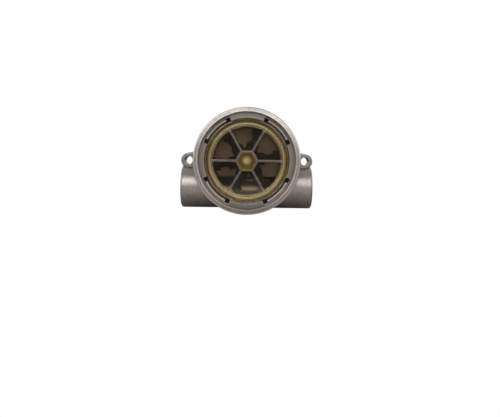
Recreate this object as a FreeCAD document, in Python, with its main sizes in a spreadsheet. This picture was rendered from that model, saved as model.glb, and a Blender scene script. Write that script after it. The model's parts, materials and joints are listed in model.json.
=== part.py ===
"""Paddle wheel flow sensor with a cast body, a bayonet sight lens and a Hall effect pick-up.

Every piece is drawn as it is seen from the front: x to the right, y up and z towards the viewer.
Its Placement then turns it upright, so that in the assembly X runs along the ports, the lens
faces -Y and Z is up. The origin is where the rotor axis crosses the face of the mounting ears.
"""
import FreeCAD, Part
import math
import os
import re
import Sketcher

# Driving dimensions in millimetres, degrees and counts
SIZES = {
    # Cast body, outside
    "length_over_ports": 63.6,
    "port_diameter": 20.6,
    "port_edge_radius": 1.2,
    "rim_diameter": 50.8,
    "rim_height": 6.2,
    "rim_skirt": 1.0,
    "rim_wall": 2.4,
    "rim_face_angle": 16.0,
    "rim_edge_radius": 0.8,
    "rim_bevel": 0.4,
    "drum_wall": 4.2,
    "ear_reach": 2.5,
    "ear_radius": 3.5,
    "ear_hole": 4.0,
    "ear_thickness": 12.5,
    "ear_edge_radius": 0.5,
    "ear_web_angle": 12.0,
    "ear_blend_radius": 2.5,
    "ear_blend_angle": 40.0,
    "gusset_setback": 2.0,
    # Pipe ports and flow passage
    "thread_bore": 13.0,
    "thread_length": 12.0,
    "thread_lead_in": 0.6,
    "passage_diameter": 11.0,
    "passage_inset": 3.5,
    "trough_depth": 3.3,
    "insert_length": 4.2,
    "insert_orifice": 5.4,
    "insert_taper": 1.6,
    # Bayonet between body and lens
    "bayonet_count": 4,
    "lug_reach": 2.9,
    "lug_setback": 1.2,
    "lug_thickness": 1.4,
    "lug_angle": 44.0,
    "stop_angle": 3.0,
    "stop_gap_angle": 0.5,
    "tab_angle": 38.0,
    "tab_thickness": 1.5,
    "tab_tip_gap": 0.4,
    "bayonet_gap": 0.12,
    "bayonet_edge_radius": 0.28,
    "rest_height": 1.4,
    "rest_width": 1.1,
    "rest_setback": 0.8,
    "rest_angle": 34.0,
    # Sight lens
    "lens_side_gap": 0.3,
    "flange_overhang": 0.6,
    "flange_edge_radius": 0.35,
    "seat_gap": 0.06,
    "plug_length": 3.7,
    "plug_gap": 0.15,
    "plug_end_gap": 0.2,
    "plug_bevel": 0.4,
    "bead_inset": 1.9,
    "bead_width": 0.9,
    "bead_height": 0.8,
    "bead_edge_radius": 0.42,
    "window_thickness": 3.0,
    "rib_count": 6,
    "rib_height": 2.8,
    "rib_thickness": 1.2,
    "rib_edge_radius": 0.45,
    "hex_flats": 7.94,
    "hex_wall": 0.95,
    "hex_height": 3.6,
    "hex_edge_radius": 0.35,
    "socket_depth": 2.8,
    "lens_hole_depth": 2.0,
    "gland_depth": 1.6,
    "gland_width": 2.3,
    "seal_gap": 0.05,
    # Rotor chamber, shaft and rotor
    "chamber_step": 2.8,
    "chamber_depth": 9.2,
    "floor_wall": 2.1,
    "boss_height": 0.6,
    "boss_wall": 2.4,
    "shaft_diameter": 3.18,
    "shaft_seat_depth": 2.2,
    "shaft_end_gap": 0.15,
    "shaft_bevel": 0.3,
    "running_gap": 0.05,
    "rotor_tip_gap": 0.7,
    "rotor_end_gap": 0.35,
    "blade_gap": 0.9,
    "arm_count": 6,
    "arm_rest_angle": 9.0,
    "hub_diameter": 13.0,
    "root_width": 6.0,
    "root_length": 1.5,
    "root_taper": 1.8,
    "neck_width": 3.3,
    "tip_width": 5.6,
    "tip_length": 2.2,
    "arm_edge_radius": 0.3,
    "magnet_diameter": 2.0,
    "magnet_length": 4.0,
    "magnet_inset": 4.0,
    # Sensor cavity, circuit board and pick-up
    "cavity_depth": 12.0,
    "rear_wall": 3.2,
    "post_count": 3,
    "post_inset": 3.7,
    "post_diameter": 4.4,
    "post_height": 4.0,
    "board_thickness": 1.6,
    "board_gap": 1.2,
    "board_screw_diameter": 2.0,
    "board_screw_length": 4.8,
    "board_head_diameter": 3.8,
    "board_head_height": 1.3,
    "hall_width": 4.2,
    "hall_height": 3.1,
    "hall_thickness": 1.6,
    "hall_pocket_depth": 2.4,
    "hall_pocket_gap": 0.4,
    "lead_width": 0.45,
    "lead_pitch": 1.27,
    "lead_tail": 0.8,
    "chip_length": 4.9,
    "chip_width": 3.9,
    "chip_thickness": 1.4,
    "chip_rise": 5.8,
    "chip_leg_width": 0.42,
    "chip_leg_reach": 1.0,
    "chip_leg_height": 0.7,
    "chip_leg_pitch": 1.27,
    "capacitor_length": 2.0,
    "capacitor_width": 1.25,
    "capacitor_height": 0.9,
    "capacitor_gap": 2.0,
    "capacitor_pitch": 6.4,
    # Rear cover and connector
    "gasket_thickness": 0.8,
    "cover_thickness": 2.6,
    "cover_inset": 0.3,
    "cover_edge_radius": 0.6,
    "cover_screw_count": 4,
    "cover_screw_diameter": 2.5,
    "cover_screw_length": 9.0,
    "cover_screw_edge": 3.8,
    "cover_head_diameter": 4.6,
    "cover_head_height": 1.7,
    "screw_boss_diameter": 5.8,
    "screw_gap": 0.05,
    "screw_clearance": 0.2,
    "screw_tip_gap": 1.0,
    "drive_slot_width": 0.7,
    "drive_slot_depth": 0.8,
    "header_width": 10.4,
    "header_height": 7.6,
    "header_drop": 2.5,
    "header_wall": 0.9,
    "header_socket_depth": 10.0,
    "header_projection": 5.0,
    "header_flange": 1.4,
    "header_flange_thickness": 1.6,
    "header_seal_thickness": 1.2,
    "window_gap": 0.25,
    "window_collar": 1.2,
    "window_collar_height": 0.9,
    "contact_count": 3,
    "contact_pitch": 2.54,
    "contact_width": 0.64,
    "contact_setback": 5.0,
    "contact_tip": 0.2,
}

# Radii from the rotor axis outwards and inwards, each from its neighbour
RIM_R = "(rim_diameter / 2)"
EAR_X = f"({RIM_R} + ear_reach)"
RECESS_R = f"({RIM_R} - rim_wall)"
LUG_R = f"({RECESS_R} - lug_reach)"
FLANGE_R = f"({LUG_R} - lens_side_gap)"
SEAL_BORE_R = f"({FLANGE_R} - flange_overhang)"
PLUG_R = f"({SEAL_BORE_R} - plug_gap)"
GLAND_R = f"({SEAL_BORE_R} - gland_depth)"
BEAD_R = f"({FLANGE_R} - bead_inset)"
WINDOW_R = f"({BEAD_R} - bead_width)"
CHAMBER_R = f"({SEAL_BORE_R} - chamber_step)"
PORT_DROP = f"({CHAMBER_R} - passage_inset)"
ROTOR_R = f"({CHAMBER_R} - rotor_tip_gap)"
MAGNET_CIRCLE_R = f"({ROTOR_R} - magnet_inset)"
HUB_R = "(hub_diameter / 2)"
SHAFT_R = "(shaft_diameter / 2)"
DRUM_R = f"({SEAL_BORE_R} + drum_wall)"
CAVITY_R = f"({DRUM_R} - rear_wall)"
COVER_R = f"({DRUM_R} - cover_inset)"
SCREW_CIRCLE_R = f"({DRUM_R} - cover_screw_edge)"
BOARD_R = f"({SCREW_CIRCLE_R} - screw_boss_diameter / 2 - board_gap)"
POST_CIRCLE_R = f"({BOARD_R} - post_inset)"
HEX_R = "(hex_flats / 2 / cos(30))"
COLLAR_R = "((hex_flats / 2 + hex_wall) / cos(30))"

# Levels along the rotor axis, from the rim at the front to the connector at the back
RIM_FALL = "((rim_wall - rim_bevel - rim_edge_radius) * tan(rim_face_angle))"
RIM_EDGE = f"(rim_height - {RIM_FALL} - rim_edge_radius / cos(rim_face_angle))"
LUG_FRONT = "(rim_height - lug_setback)"
LUG_BACK = f"({LUG_FRONT} - lug_thickness)"
TAB_FRONT = f"({LUG_BACK} - bayonet_gap)"
TAB_BACK = f"({TAB_FRONT} - tab_thickness)"
REST_TOP = f"({TAB_BACK} - bayonet_gap)"
LEDGE = f"({REST_TOP} - rest_height)"
FLANGE_BACK = f"({LEDGE} + seat_gap)"
PLUG_END = f"({LEDGE} - plug_length)"
SEAL_BORE_END = f"({PLUG_END} - plug_end_gap)"
CHAMBER_BACK = f"({SEAL_BORE_END} - chamber_depth)"
WINDOW_FRONT = f"({PLUG_END} + window_thickness)"
COLLAR_FRONT = f"({WINDOW_FRONT} + hex_height)"
BOSS_FRONT = f"({CHAMBER_BACK} + boss_height)"
SHAFT_BACK = f"({CHAMBER_BACK} - shaft_seat_depth)"
SHAFT_FRONT = f"({PLUG_END} + lens_hole_depth - shaft_end_gap)"
PORT_LEVEL = f"({CHAMBER_BACK} - trough_depth + passage_diameter / 2)"
CAVITY_FLOOR = f"({CHAMBER_BACK} - trough_depth - floor_wall)"
BOARD_FRONT = f"({CAVITY_FLOOR} - post_height)"
BOARD_BACK = f"({BOARD_FRONT} - board_thickness)"
DRUM_BACK = f"({CAVITY_FLOOR} - cavity_depth)"
COVER_FRONT = f"({DRUM_BACK} - gasket_thickness)"
COVER_BACK = f"({COVER_FRONT} - cover_thickness)"
HEADER_BACK = f"({COVER_BACK} - header_projection)"
FLANGE_REAR = f"({COVER_FRONT} + header_seal_thickness)"

# Places on the board, seen from the front
HALL_Y = MAGNET_CIRCLE_R
HEADER_Y = "-header_drop"
LEAD_Y = f"({HALL_Y} - hall_height / 2 - lead_width)"

UP = FreeCAD.Vector(0, 0, 1)
UPRIGHT = FreeCAD.Rotation(FreeCAD.Vector(1, 0, 0), 90)
CELLS = {alias: f"Sizes.{alias}" for alias in SIZES}

doc = FreeCAD.newDocument("paddle_wheel_flow_sensor")
sheet = doc.addObject("Spreadsheet::Sheet", "Sizes")
for row, (alias, number) in enumerate(SIZES.items(), start=1):
    sheet.set(f"A{row}", alias.replace("_", " "))
    sheet.set(f"B{row}", str(number))
    sheet.setAlias(f"B{row}", alias)
doc.recompute()


def bound(expression):
    """Point every size named in an expression at its cell."""
    return re.sub(r"[a-z_]+", lambda word: CELLS.get(word.group(), word.group()), expression)


def size(expression):
    """Work an expression out as a number."""
    return float(sheet.evalExpression(expression))


def polar(radius, angle):
    """Expressions for the x and y of a point at a radius and an angle."""
    return f"{radius} * cos({angle})", f"{radius} * sin({angle})"


def turned(along, across, angle):
    """Expressions for the x and y of a point in a frame that is turned clockwise by an angle."""
    x = f"({along}) * cos({angle}) + ({across}) * sin({angle})"
    y = f"({across}) * cos({angle}) - ({along}) * sin({angle})"
    return x, y


def new_body(label):
    """An empty body that stands upright in the assembly."""
    body = doc.addObject("PartDesign::Body", label)
    body.Label = label
    body.Placement = FreeCAD.Placement(FreeCAD.Vector(), UPRIGHT)
    return body


def origin_feature(body, role):
    """One of a body's own origin planes or axes."""
    return next(feature for feature in body.Origin.OriginFeatures if feature.Role == role)


def new_sketch(body, name, plane="XY_Plane", lift="0", shift="0", rise="0"):
    """A sketch on an origin plane, lifted along its normal and shifted along its own x and y."""
    sketch = body.newObject("Sketcher::SketchObject", name)
    sketch.AttachmentSupport = [(origin_feature(body, plane), "")]
    sketch.MapMode = "FlatFace"
    sketch.setExpression("AttachmentOffset.Base.z", bound(lift))
    sketch.setExpression("AttachmentOffset.Base.x", bound(shift))
    sketch.setExpression("AttachmentOffset.Base.y", bound(rise))
    return sketch


def constrain(sketch, expression, kind, *where):
    """Add a dimension to a sketch and bind it to the sheet."""
    index = sketch.addConstraint(Sketcher.Constraint(kind, *where, size(expression)))
    sketch.setExpression(f"Constraints[{index}]", bound(expression))


def pin(sketch, geometry, end, x, y):
    """Hold one point of a sketch at x and y from its origin."""
    constrain(sketch, x, "DistanceX", -1, 1, geometry, end)
    constrain(sketch, y, "DistanceY", -1, 1, geometry, end)


def draw_circle(sketch, x, y, radius):
    """Draw a circle that is held by its centre and radius."""
    circle = Part.Circle(FreeCAD.Vector(size(x), size(y), 0), UP, size(radius))
    index = sketch.addGeometry(circle)
    pin(sketch, index, 3, x, y)
    constrain(sketch, radius, "Radius", index)


def draw_outline(sketch, corners):
    """Draw a closed outline with every corner held.

    A corner is (x, y). With a third item, (centre x, centre y, turn), the edge that leaves it
    is an arc, counterclockwise where turn is 1 and clockwise where it is -1.
    """
    points = [FreeCAD.Vector(size(corner[0]), size(corner[1]), 0) for corner in corners]
    first = sketch.GeometryCount
    ends = []
    for start, stop, corner in zip(points, points[1:] + points[:1], corners):
        if len(corner) == 2:
            sketch.addGeometry(Part.LineSegment(start, stop))
            ends.append((1, 2))
            continue
        centre_x, centre_y, turn = corner[2]
        centre = FreeCAD.Vector(size(centre_x), size(centre_y), 0)
        circle = Part.Circle(centre, UP, start.distanceToPoint(centre))
        run = (start, stop) if turn > 0 else (stop, start)
        sketch.addGeometry(Part.ArcOfCircle(circle, *(circle.parameter(point) for point in run)))
        ends.append((1, 2) if turn > 0 else (2, 1))
    for index, corner in enumerate(corners):
        following = (index + 1) % len(corners)
        joined = (first + index, ends[index][1], first + following, ends[following][0])
        sketch.addConstraint(Sketcher.Constraint("Coincident", *joined))
        pin(sketch, first + index, ends[index][0], corner[0], corner[1])
        if len(corner) == 3:
            chord = points[following] - points[index]
            across = ("DistanceY", corner[2][1]) if abs(chord.x) > abs(chord.y) else ("DistanceX", corner[2][0])
            constrain(sketch, across[1], across[0], -1, 1, first + index, 3)


def draw_box(sketch, x, y, width, height):
    """Draw a rectangle about its centre."""
    left, right = f"{x} - ({width}) / 2", f"{x} + ({width}) / 2"
    low, high = f"{y} - ({height}) / 2", f"{y} + ({height}) / 2"
    draw_outline(sketch, [(left, low), (right, low), (right, high), (left, high)])


def draw_sector(sketch, inner, outer, start, stop):
    """Draw a piece of a ring between two radii and two angles."""
    draw_outline(sketch, [
        (*polar(outer, start), ("0", "0", 1)),
        polar(outer, stop),
        (*polar(inner, stop), ("0", "0", -1)),
        polar(inner, start),
    ])


def draw_hexagon(sketch, radius):
    """Draw a hexagon with two of its corners on the x axis."""
    draw_outline(sketch, [polar(radius, str(60 * corner)) for corner in range(6)])


def feature(body, kind, sketch):
    """Add a feature that works on one sketch."""
    added = body.newObject(f"PartDesign::{kind}", f"{sketch.Name}_{kind.lower()}")
    added.Profile = sketch
    body.Tip = added
    return added


def pad(body, sketch, length, both=False, reverse=False):
    """Raise a sketch into a solid along its normal, or both ways from it."""
    added = feature(body, "Pad", sketch)
    added.setExpression("Length", bound(length))
    added.SideType = "Symmetric" if both else "One side"
    added.Reversed = reverse
    return added


def pocket(body, sketch, length, both=False, reverse=False):
    """Cut a sketch into the solid against its normal, or both ways from it."""
    added = feature(body, "Pocket", sketch)
    added.setExpression("Length", bound(length))
    added.SideType = "Symmetric" if both else "One side"
    added.Reversed = reverse
    return added


def turn(body, sketch, cut=False, axis="V_Axis"):
    """Turn a sketch about one of its own axes, the upright one if not told, to add or to cut."""
    added = feature(body, "Groove" if cut else "Revolution", sketch)
    added.ReferenceAxis = (sketch, [axis])
    added.Angle = 360
    return added


def repeat(body, features, count):
    """Repeat features evenly about the rotor axis."""
    added = body.newObject("PartDesign::PolarPattern", f"{features[0].Name}_ring")
    added.Originals = features
    added.Axis = (origin_feature(body, "Z_Axis"), [""])
    added.Angle = 360
    added.setExpression("Occurrences", bound(count))
    body.Tip = added
    return added


def mirror(body, features):
    """Repeat features on the other side of the rotor axis."""
    added = body.newObject("PartDesign::Mirrored", f"{features[0].Name}_mirrored")
    added.Originals = features
    added.MirrorPlane = (origin_feature(body, "YZ_Plane"), [""])
    body.Tip = added
    return added


def dress_edges(body, kind, dimension, amount, wanted):
    """Round or bevel the edges of the solid so far that a test picks."""
    doc.recompute()
    base = body.Tip
    names = [f"Edge{index}" for index, edge in enumerate(base.Shape.Edges, start=1) if wanted(edge)]
    added = body.newObject(f"PartDesign::{kind}", f"{base.Name}_{kind.lower()}")
    added.Base = (base, names)
    added.setExpression(dimension, bound(amount))
    body.Tip = added
    return added


def round_edges(body, radius, wanted):
    """Round the edges that a test picks."""
    return dress_edges(body, "Fillet", "Radius", radius, wanted)


def bevel_edges(body, width, wanted):
    """Bevel the edges that a test picks."""
    return dress_edges(body, "Chamfer", "Size", width, wanted)


def is_circle(edge, radius):
    """Whether an edge is a circle, or a piece of one, of a radius."""
    curve = edge.Curve
    return curve.TypeId == "Part::GeomCircle" and math.isclose(curve.Radius, size(radius), abs_tol=1e-4)


def at_level(edge, level):
    """Whether an edge lies at one level along the rotor axis."""
    box = edge.BoundBox
    return all(math.isclose(z, size(level), abs_tol=1e-4) for z in (box.ZMin, box.ZMax))


def make_flow_body():
    """The casting: drum, bayonet rim, ports, ears, rotor chamber and sensor cavity."""
    body = new_body("flow_body")
    drum = new_sketch(body, "drum", "XZ_Plane")
    edge_x = f"({RIM_R} - rim_edge_radius)"
    face_end = f"{edge_x} + rim_edge_radius * sin(rim_face_angle)"
    draw_outline(drum, [
        ("0", "rim_height"), (f"{RECESS_R} + rim_bevel", "rim_height"),
        (face_end, f"{RIM_EDGE} + rim_edge_radius * cos(rim_face_angle)", (edge_x, RIM_EDGE, -1)),
        (RIM_R, RIM_EDGE), (RIM_R, "-rim_skirt"), (DRUM_R, f"-rim_skirt - ({RIM_R} - {DRUM_R})"),
        (DRUM_R, DRUM_BACK), ("0", DRUM_BACK),
    ])
    turn(body, drum)

    ear = new_sketch(body, "ear")
    root_x = f"({DRUM_R} - drum_wall)"
    slope, bend = "ear_web_angle", "ear_blend_radius"
    top = f"({EAR_X} * sin({slope}) + ear_radius)"
    blend_r = f"sqrt({RIM_R} ^ 2 + {bend} ^ 2 + 2 * {RIM_R} * {bend} * cos(ear_blend_angle))"
    blend_start = f"sqrt({blend_r} ^ 2 - ({top} + {bend}) ^ 2)"
    blend_x, blend_y = turned(blend_start, f"{top} + {bend}", slope)
    inward = f"(1 - {bend} / {blend_r})"
    draw_outline(ear, [
        (EAR_X, "-ear_radius", (EAR_X, "0", 1)),
        turned(f"{EAR_X} * cos({slope})", top, slope),
        (*turned(blend_start, top, slope), (blend_x, blend_y, -1)),
        (f"({blend_x}) * {inward}", f"({blend_y}) * {inward}"),
        (root_x, f"({blend_y}) * {inward}"), (root_x, "-ear_radius"),
    ])
    mirror(body, [pad(body, ear, "ear_thickness", reverse=True)])
    round_edges(body, "ear_edge_radius", lambda edge: at_level(edge, "0") and not is_circle(edge, RIM_R))

    tube = new_sketch(body, "port_tube", lift=PORT_LEVEL, rise=f"-{PORT_DROP}")
    tube_end, tube_round = "length_over_ports / 2", "(length_over_ports / 2 - port_edge_radius)"
    tube_r, tube_shoulder = "port_diameter / 2", "(port_diameter / 2 - port_edge_radius)"
    draw_outline(tube, [
        (f"-{tube_end}", "0"), (tube_end, "0"), (tube_end, tube_shoulder, (tube_round, tube_shoulder, 1)),
        (tube_round, tube_r), (f"-{tube_round}", tube_r, (f"-{tube_round}", tube_shoulder, 1)),
        (f"-{tube_end}", tube_shoulder),
    ])
    turn(body, tube, axis="H_Axis")
    gusset = new_sketch(body, "gusset", lift="-gusset_setback")
    draw_outline(gusset, [
        (root_x, f"-{PORT_DROP}"), (tube_round, f"-{PORT_DROP}"), (tube_round, "0"), (root_x, "0"),
    ])
    mirror(body, [pad(body, gusset, f"-gusset_setback - {PORT_LEVEL}", reverse=True)])

    front = new_sketch(body, "front_bore", "XZ_Plane")
    draw_outline(front, [
        ("0", "rim_height"), (f"{RECESS_R} + rim_bevel", "rim_height"), (RECESS_R, "rim_height - rim_bevel"),
        (RECESS_R, LEDGE), (f"{SEAL_BORE_R} + plug_bevel", LEDGE), (SEAL_BORE_R, f"{LEDGE} - plug_bevel"),
        (SEAL_BORE_R, SEAL_BORE_END), (CHAMBER_R, SEAL_BORE_END), (CHAMBER_R, CHAMBER_BACK),
        (f"{SHAFT_R} + boss_wall", CHAMBER_BACK), (f"{SHAFT_R} + boss_wall", BOSS_FRONT),
        (SHAFT_R, BOSS_FRONT), (SHAFT_R, SHAFT_BACK), ("0", SHAFT_BACK),
    ])
    turn(body, front, cut=True)

    lug = new_sketch(body, "lug", lift=LUG_BACK)
    draw_sector(lug, LUG_R, f"({RECESS_R} + rim_wall / 2)", "-lug_angle / 2", "lug_angle / 2")
    lug_pad = pad(body, lug, "lug_thickness")
    stop = new_sketch(body, "stop", lift=LEDGE)
    draw_sector(stop, LUG_R, f"({RECESS_R} + rim_wall / 2)", "-lug_angle / 2", "stop_angle - lug_angle / 2")
    stop_pad = pad(body, stop, f"{LUG_BACK} - {LEDGE} + lug_thickness / 2")
    rest = new_sketch(body, "tab_rest", lift=LEDGE)
    rest_outer = f"({RECESS_R} - rest_setback)"
    rest_middle = "180 / bayonet_count"
    draw_sector(rest, f"({rest_outer} - rest_width)", rest_outer,
                f"{rest_middle} - rest_angle / 2", f"{rest_middle} + rest_angle / 2")
    rest_pad = pad(body, rest, "rest_height")
    repeat(body, [lug_pad, stop_pad, rest_pad], "bayonet_count")
    rest_edges = (rest_outer, f"{rest_outer} - rest_width")
    round_edges(body, "bayonet_edge_radius", lambda edge: at_level(edge, LUG_FRONT) and is_circle(edge, LUG_R)
                or at_level(edge, REST_TOP) and any(is_circle(edge, radius) for radius in rest_edges))

    passage = new_sketch(body, "passage", "YZ_Plane")
    draw_circle(passage, f"-{PORT_DROP}", PORT_LEVEL, "passage_diameter / 2")
    pocket(body, passage, "length_over_ports", both=True)
    thread = new_sketch(body, "thread_bore", "YZ_Plane", lift="length_over_ports / 2")
    draw_circle(thread, f"-{PORT_DROP}", PORT_LEVEL, "thread_bore / 2")
    mirror(body, [pocket(body, thread, "thread_length")])
    bevel_edges(body, "thread_lead_in", lambda edge: is_circle(edge, "thread_bore / 2")
                and math.isclose(abs(edge.BoundBox.XMin), size("length_over_ports / 2"), abs_tol=1e-4))

    hole = new_sketch(body, "ear_hole")
    draw_circle(hole, EAR_X, "0", "ear_hole / 2")
    mirror(body, [pocket(body, hole, "ear_thickness")])

    cavity = new_sketch(body, "sensor_cavity", "XZ_Plane")
    draw_outline(cavity, [
        ("0", DRUM_BACK), (CAVITY_R, DRUM_BACK), (CAVITY_R, CAVITY_FLOOR), ("0", CAVITY_FLOOR),
    ])
    turn(body, cavity, cut=True)
    boss = new_sketch(body, "screw_boss", lift=DRUM_BACK)
    draw_circle(boss, *polar(SCREW_CIRCLE_R, "45"), "screw_boss_diameter / 2")
    boss_pad = pad(body, boss, "cavity_depth")
    boss_hole = new_sketch(body, "screw_boss_hole", lift=DRUM_BACK)
    draw_circle(boss_hole, *polar(SCREW_CIRCLE_R, "45"), "cover_screw_diameter / 2 + screw_gap")
    boss_depth = "cover_screw_length - cover_thickness - gasket_thickness + screw_tip_gap"
    boss_cut = pocket(body, boss_hole, boss_depth, reverse=True)
    repeat(body, [boss_pad, boss_cut], "cover_screw_count")

    post = new_sketch(body, "board_post", lift=CAVITY_FLOOR)
    draw_circle(post, *polar(POST_CIRCLE_R, "30"), "post_diameter / 2")
    post_pad = pad(body, post, "post_height", reverse=True)
    post_hole = new_sketch(body, "board_post_hole", lift=BOARD_FRONT)
    draw_circle(post_hole, *polar(POST_CIRCLE_R, "30"), "board_screw_diameter / 2 + screw_gap")
    post_cut = pocket(body, post_hole, "post_height", reverse=True)
    repeat(body, [post_pad, post_cut], "post_count")

    seat = new_sketch(body, "hall_seat", lift=CAVITY_FLOOR)
    seat_top = f"({HALL_Y} + hall_height / 2 + hall_pocket_gap)"
    seat_bottom = f"({LEAD_Y} - lead_width / 2 - hall_pocket_gap)"
    draw_box(seat, "0", f"({seat_top} + {seat_bottom}) / 2", "hall_width + 2 * hall_pocket_gap",
             f"{seat_top} - {seat_bottom}")
    pocket(body, seat, "hall_pocket_depth", reverse=True)
    return body


def make_front_lens():
    """The moulded lens: sealed plug, flange with bayonet tabs, bead, ribs and hexagon socket."""
    body = new_body("front_lens")
    gland_middle = f"({FLANGE_BACK} + {PLUG_END}) / 2"
    gland_back = f"{gland_middle} - gland_width / 2"
    gland_front = f"{gland_middle} + gland_width / 2"
    flange_side, flange_top = f"{TAB_FRONT} - flange_edge_radius", f"{FLANGE_R} - flange_edge_radius"
    hole = f"{SHAFT_R} + running_gap"
    section = new_sketch(body, "lens_section", "XZ_Plane")
    draw_outline(section, [
        ("0", f"{PLUG_END} + lens_hole_depth"), (hole, f"{PLUG_END} + lens_hole_depth"), (hole, PLUG_END),
        (f"{PLUG_R} - plug_bevel", PLUG_END), (PLUG_R, f"{PLUG_END} + plug_bevel"), (PLUG_R, gland_back),
        (GLAND_R, gland_back), (GLAND_R, gland_front), (PLUG_R, gland_front), (PLUG_R, FLANGE_BACK),
        (FLANGE_R, FLANGE_BACK), (FLANGE_R, flange_side, (flange_top, flange_side, 1)), (flange_top, TAB_FRONT),
        (BEAD_R, TAB_FRONT),
        (BEAD_R, f"{TAB_FRONT} + bead_height"), (WINDOW_R, f"{TAB_FRONT} + bead_height"),
        (WINDOW_R, WINDOW_FRONT), ("0", WINDOW_FRONT),
    ])
    turn(body, section)
    round_edges(body, "bead_edge_radius", lambda edge: at_level(edge, f"{TAB_FRONT} + bead_height"))

    tab = new_sketch(body, "bayonet_tab", lift=TAB_BACK)
    tab_start = "(stop_angle + stop_gap_angle - lug_angle / 2)"
    draw_sector(tab, BEAD_R, f"({RECESS_R} - tab_tip_gap)", tab_start, f"{tab_start} + tab_angle")
    repeat(body, [pad(body, tab, "tab_thickness")], "bayonet_count")

    collar = new_sketch(body, "hex_collar", lift=WINDOW_FRONT)
    draw_hexagon(collar, COLLAR_R)
    pad(body, collar, "hex_height")
    round_edges(body, "hex_edge_radius", lambda edge: at_level(edge, COLLAR_FRONT))
    rib = new_sketch(body, "rib", "YZ_Plane", lift="hex_flats / 2")
    side, crest = "rib_thickness / 2", f"({WINDOW_FRONT} + rib_height)"
    shoulder, flat = f"({crest} - rib_edge_radius)", f"({side} - rib_edge_radius)"
    draw_outline(rib, [
        (f"-{side}", WINDOW_FRONT), (side, WINDOW_FRONT), (side, shoulder, (flat, shoulder, 1)), (flat, crest),
        (f"-{flat}", crest, (f"-{flat}", shoulder, 1)), (f"-{side}", shoulder),
    ])
    repeat(body, [pad(body, rib, f"{WINDOW_R} + bead_width / 2 - hex_flats / 2")], "rib_count")
    socket = new_sketch(body, "hex_socket", lift=COLLAR_FRONT)
    draw_hexagon(socket, HEX_R)
    pocket(body, socket, "socket_depth")
    return body


def make_lens_seal():
    """The O-ring in the lens gland, squeezed flat between gland and bore."""
    body = new_body("lens_seal")
    section = new_sketch(body, "ring_section", "XZ_Plane")
    middle = f"({FLANGE_BACK} + {PLUG_END}) / 2"
    half = "((gland_depth - 2 * seal_gap) / 2)"
    centre = f"({GLAND_R} + gland_depth / 2)"
    flat = f"((gland_width - 2 * seal_gap) / 2 - {half})"
    low, high = f"{middle} - {flat}", f"{middle} + {flat}"
    inner, outer = f"{centre} - {half}", f"{centre} + {half}"
    draw_outline(section, [
        (inner, low, (centre, low, 1)), (outer, low), (outer, high, (centre, high, 1)), (inner, high),
    ])
    turn(body, section)
    return body


def make_rotor_shaft():
    """The fixed ceramic shaft, with a bevel at both ends."""
    body = new_body("rotor_shaft")
    section = new_sketch(body, "shaft_section", "XZ_Plane")
    draw_outline(section, [
        ("0", SHAFT_BACK), (f"{SHAFT_R} - shaft_bevel", SHAFT_BACK),
        (SHAFT_R, f"{SHAFT_BACK} + shaft_bevel"), (SHAFT_R, f"{SHAFT_FRONT} - shaft_bevel"),
        (f"{SHAFT_R} - shaft_bevel", SHAFT_FRONT), ("0", SHAFT_FRONT),
    ])
    turn(body, section)
    return body


def make_rotor():
    """The paddle wheel: a hub and T-tipped arms, each with a magnet pocket in its back."""
    body = new_body("rotor")
    body.Placement = FreeCAD.Placement(FreeCAD.Vector(), UPRIGHT * FreeCAD.Rotation(UP, size("arm_rest_angle")))
    hub_back = f"({BOSS_FRONT} + rotor_end_gap)"
    blade_back = f"({CHAMBER_BACK} + blade_gap)"
    blade_width = f"{PLUG_END} - blade_gap - {blade_back}"
    hub = new_sketch(body, "hub", lift=hub_back)
    draw_circle(hub, "0", "0", HUB_R)
    pad(body, hub, f"{PLUG_END} - rotor_end_gap - {hub_back}")

    arm = new_sketch(body, "arm", lift=blade_back)
    root_end = f"({HUB_R} + root_length)"
    neck_start = f"({root_end} + root_taper)"
    tip_start = f"({ROTOR_R} - tip_length)"
    tip_edge = f"sqrt(({ROTOR_R}) ^ 2 - (tip_width / 2) ^ 2)"
    lower = [
        (f"{HUB_R} / 2", "-root_width / 2"), (root_end, "-root_width / 2"), (neck_start, "-neck_width / 2"),
        (tip_start, "-neck_width / 2"), (tip_start, "-tip_width / 2"),
    ]
    upper = [(x, y.lstrip("-")) for x, y in reversed(lower)]
    tip = [(tip_edge, "-tip_width / 2", ("0", "0", 1)), (tip_edge, "tip_width / 2")]
    draw_outline(arm, lower + tip + upper)
    arm_pad = pad(body, arm, blade_width)
    magnet = new_sketch(body, "magnet_pocket", lift=blade_back)
    draw_circle(magnet, MAGNET_CIRCLE_R, "0", "magnet_diameter / 2")
    magnet_cut = pocket(body, magnet, "magnet_length", reverse=True)
    repeat(body, [arm_pad, magnet_cut], "arm_count")
    blade_front = f"{PLUG_END} - blade_gap"
    round_edges(body, "arm_edge_radius",
                lambda edge: at_level(edge, blade_front) and not is_circle(edge, HUB_R))

    bore = new_sketch(body, "shaft_bore", lift=hub_back)
    draw_circle(bore, "0", "0", f"{SHAFT_R} + running_gap")
    pocket(body, bore, f"{PLUG_END} - {hub_back}", reverse=True)
    return body


def make_magnets():
    """One rod magnet in each arm of the rotor."""
    magnets = []
    count = round(size("arm_count"))
    for index in range(count):
        magnet = doc.addObject("Part::Cylinder", f"rotor_magnet_{index + 1}")
        magnet.setExpression("Radius", bound("magnet_diameter / 2"))
        magnet.setExpression("Height", bound("magnet_length"))
        angle = f"(arm_rest_angle + {index} * 360 / arm_count)"
        x, z = (size(part) for part in polar(MAGNET_CIRCLE_R, angle))
        back = size(f"{CHAMBER_BACK} + blade_gap")
        magnet.Placement = FreeCAD.Placement(FreeCAD.Vector(x, -back, z), UPRIGHT)
        magnets.append(magnet)
    return magnets


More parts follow.
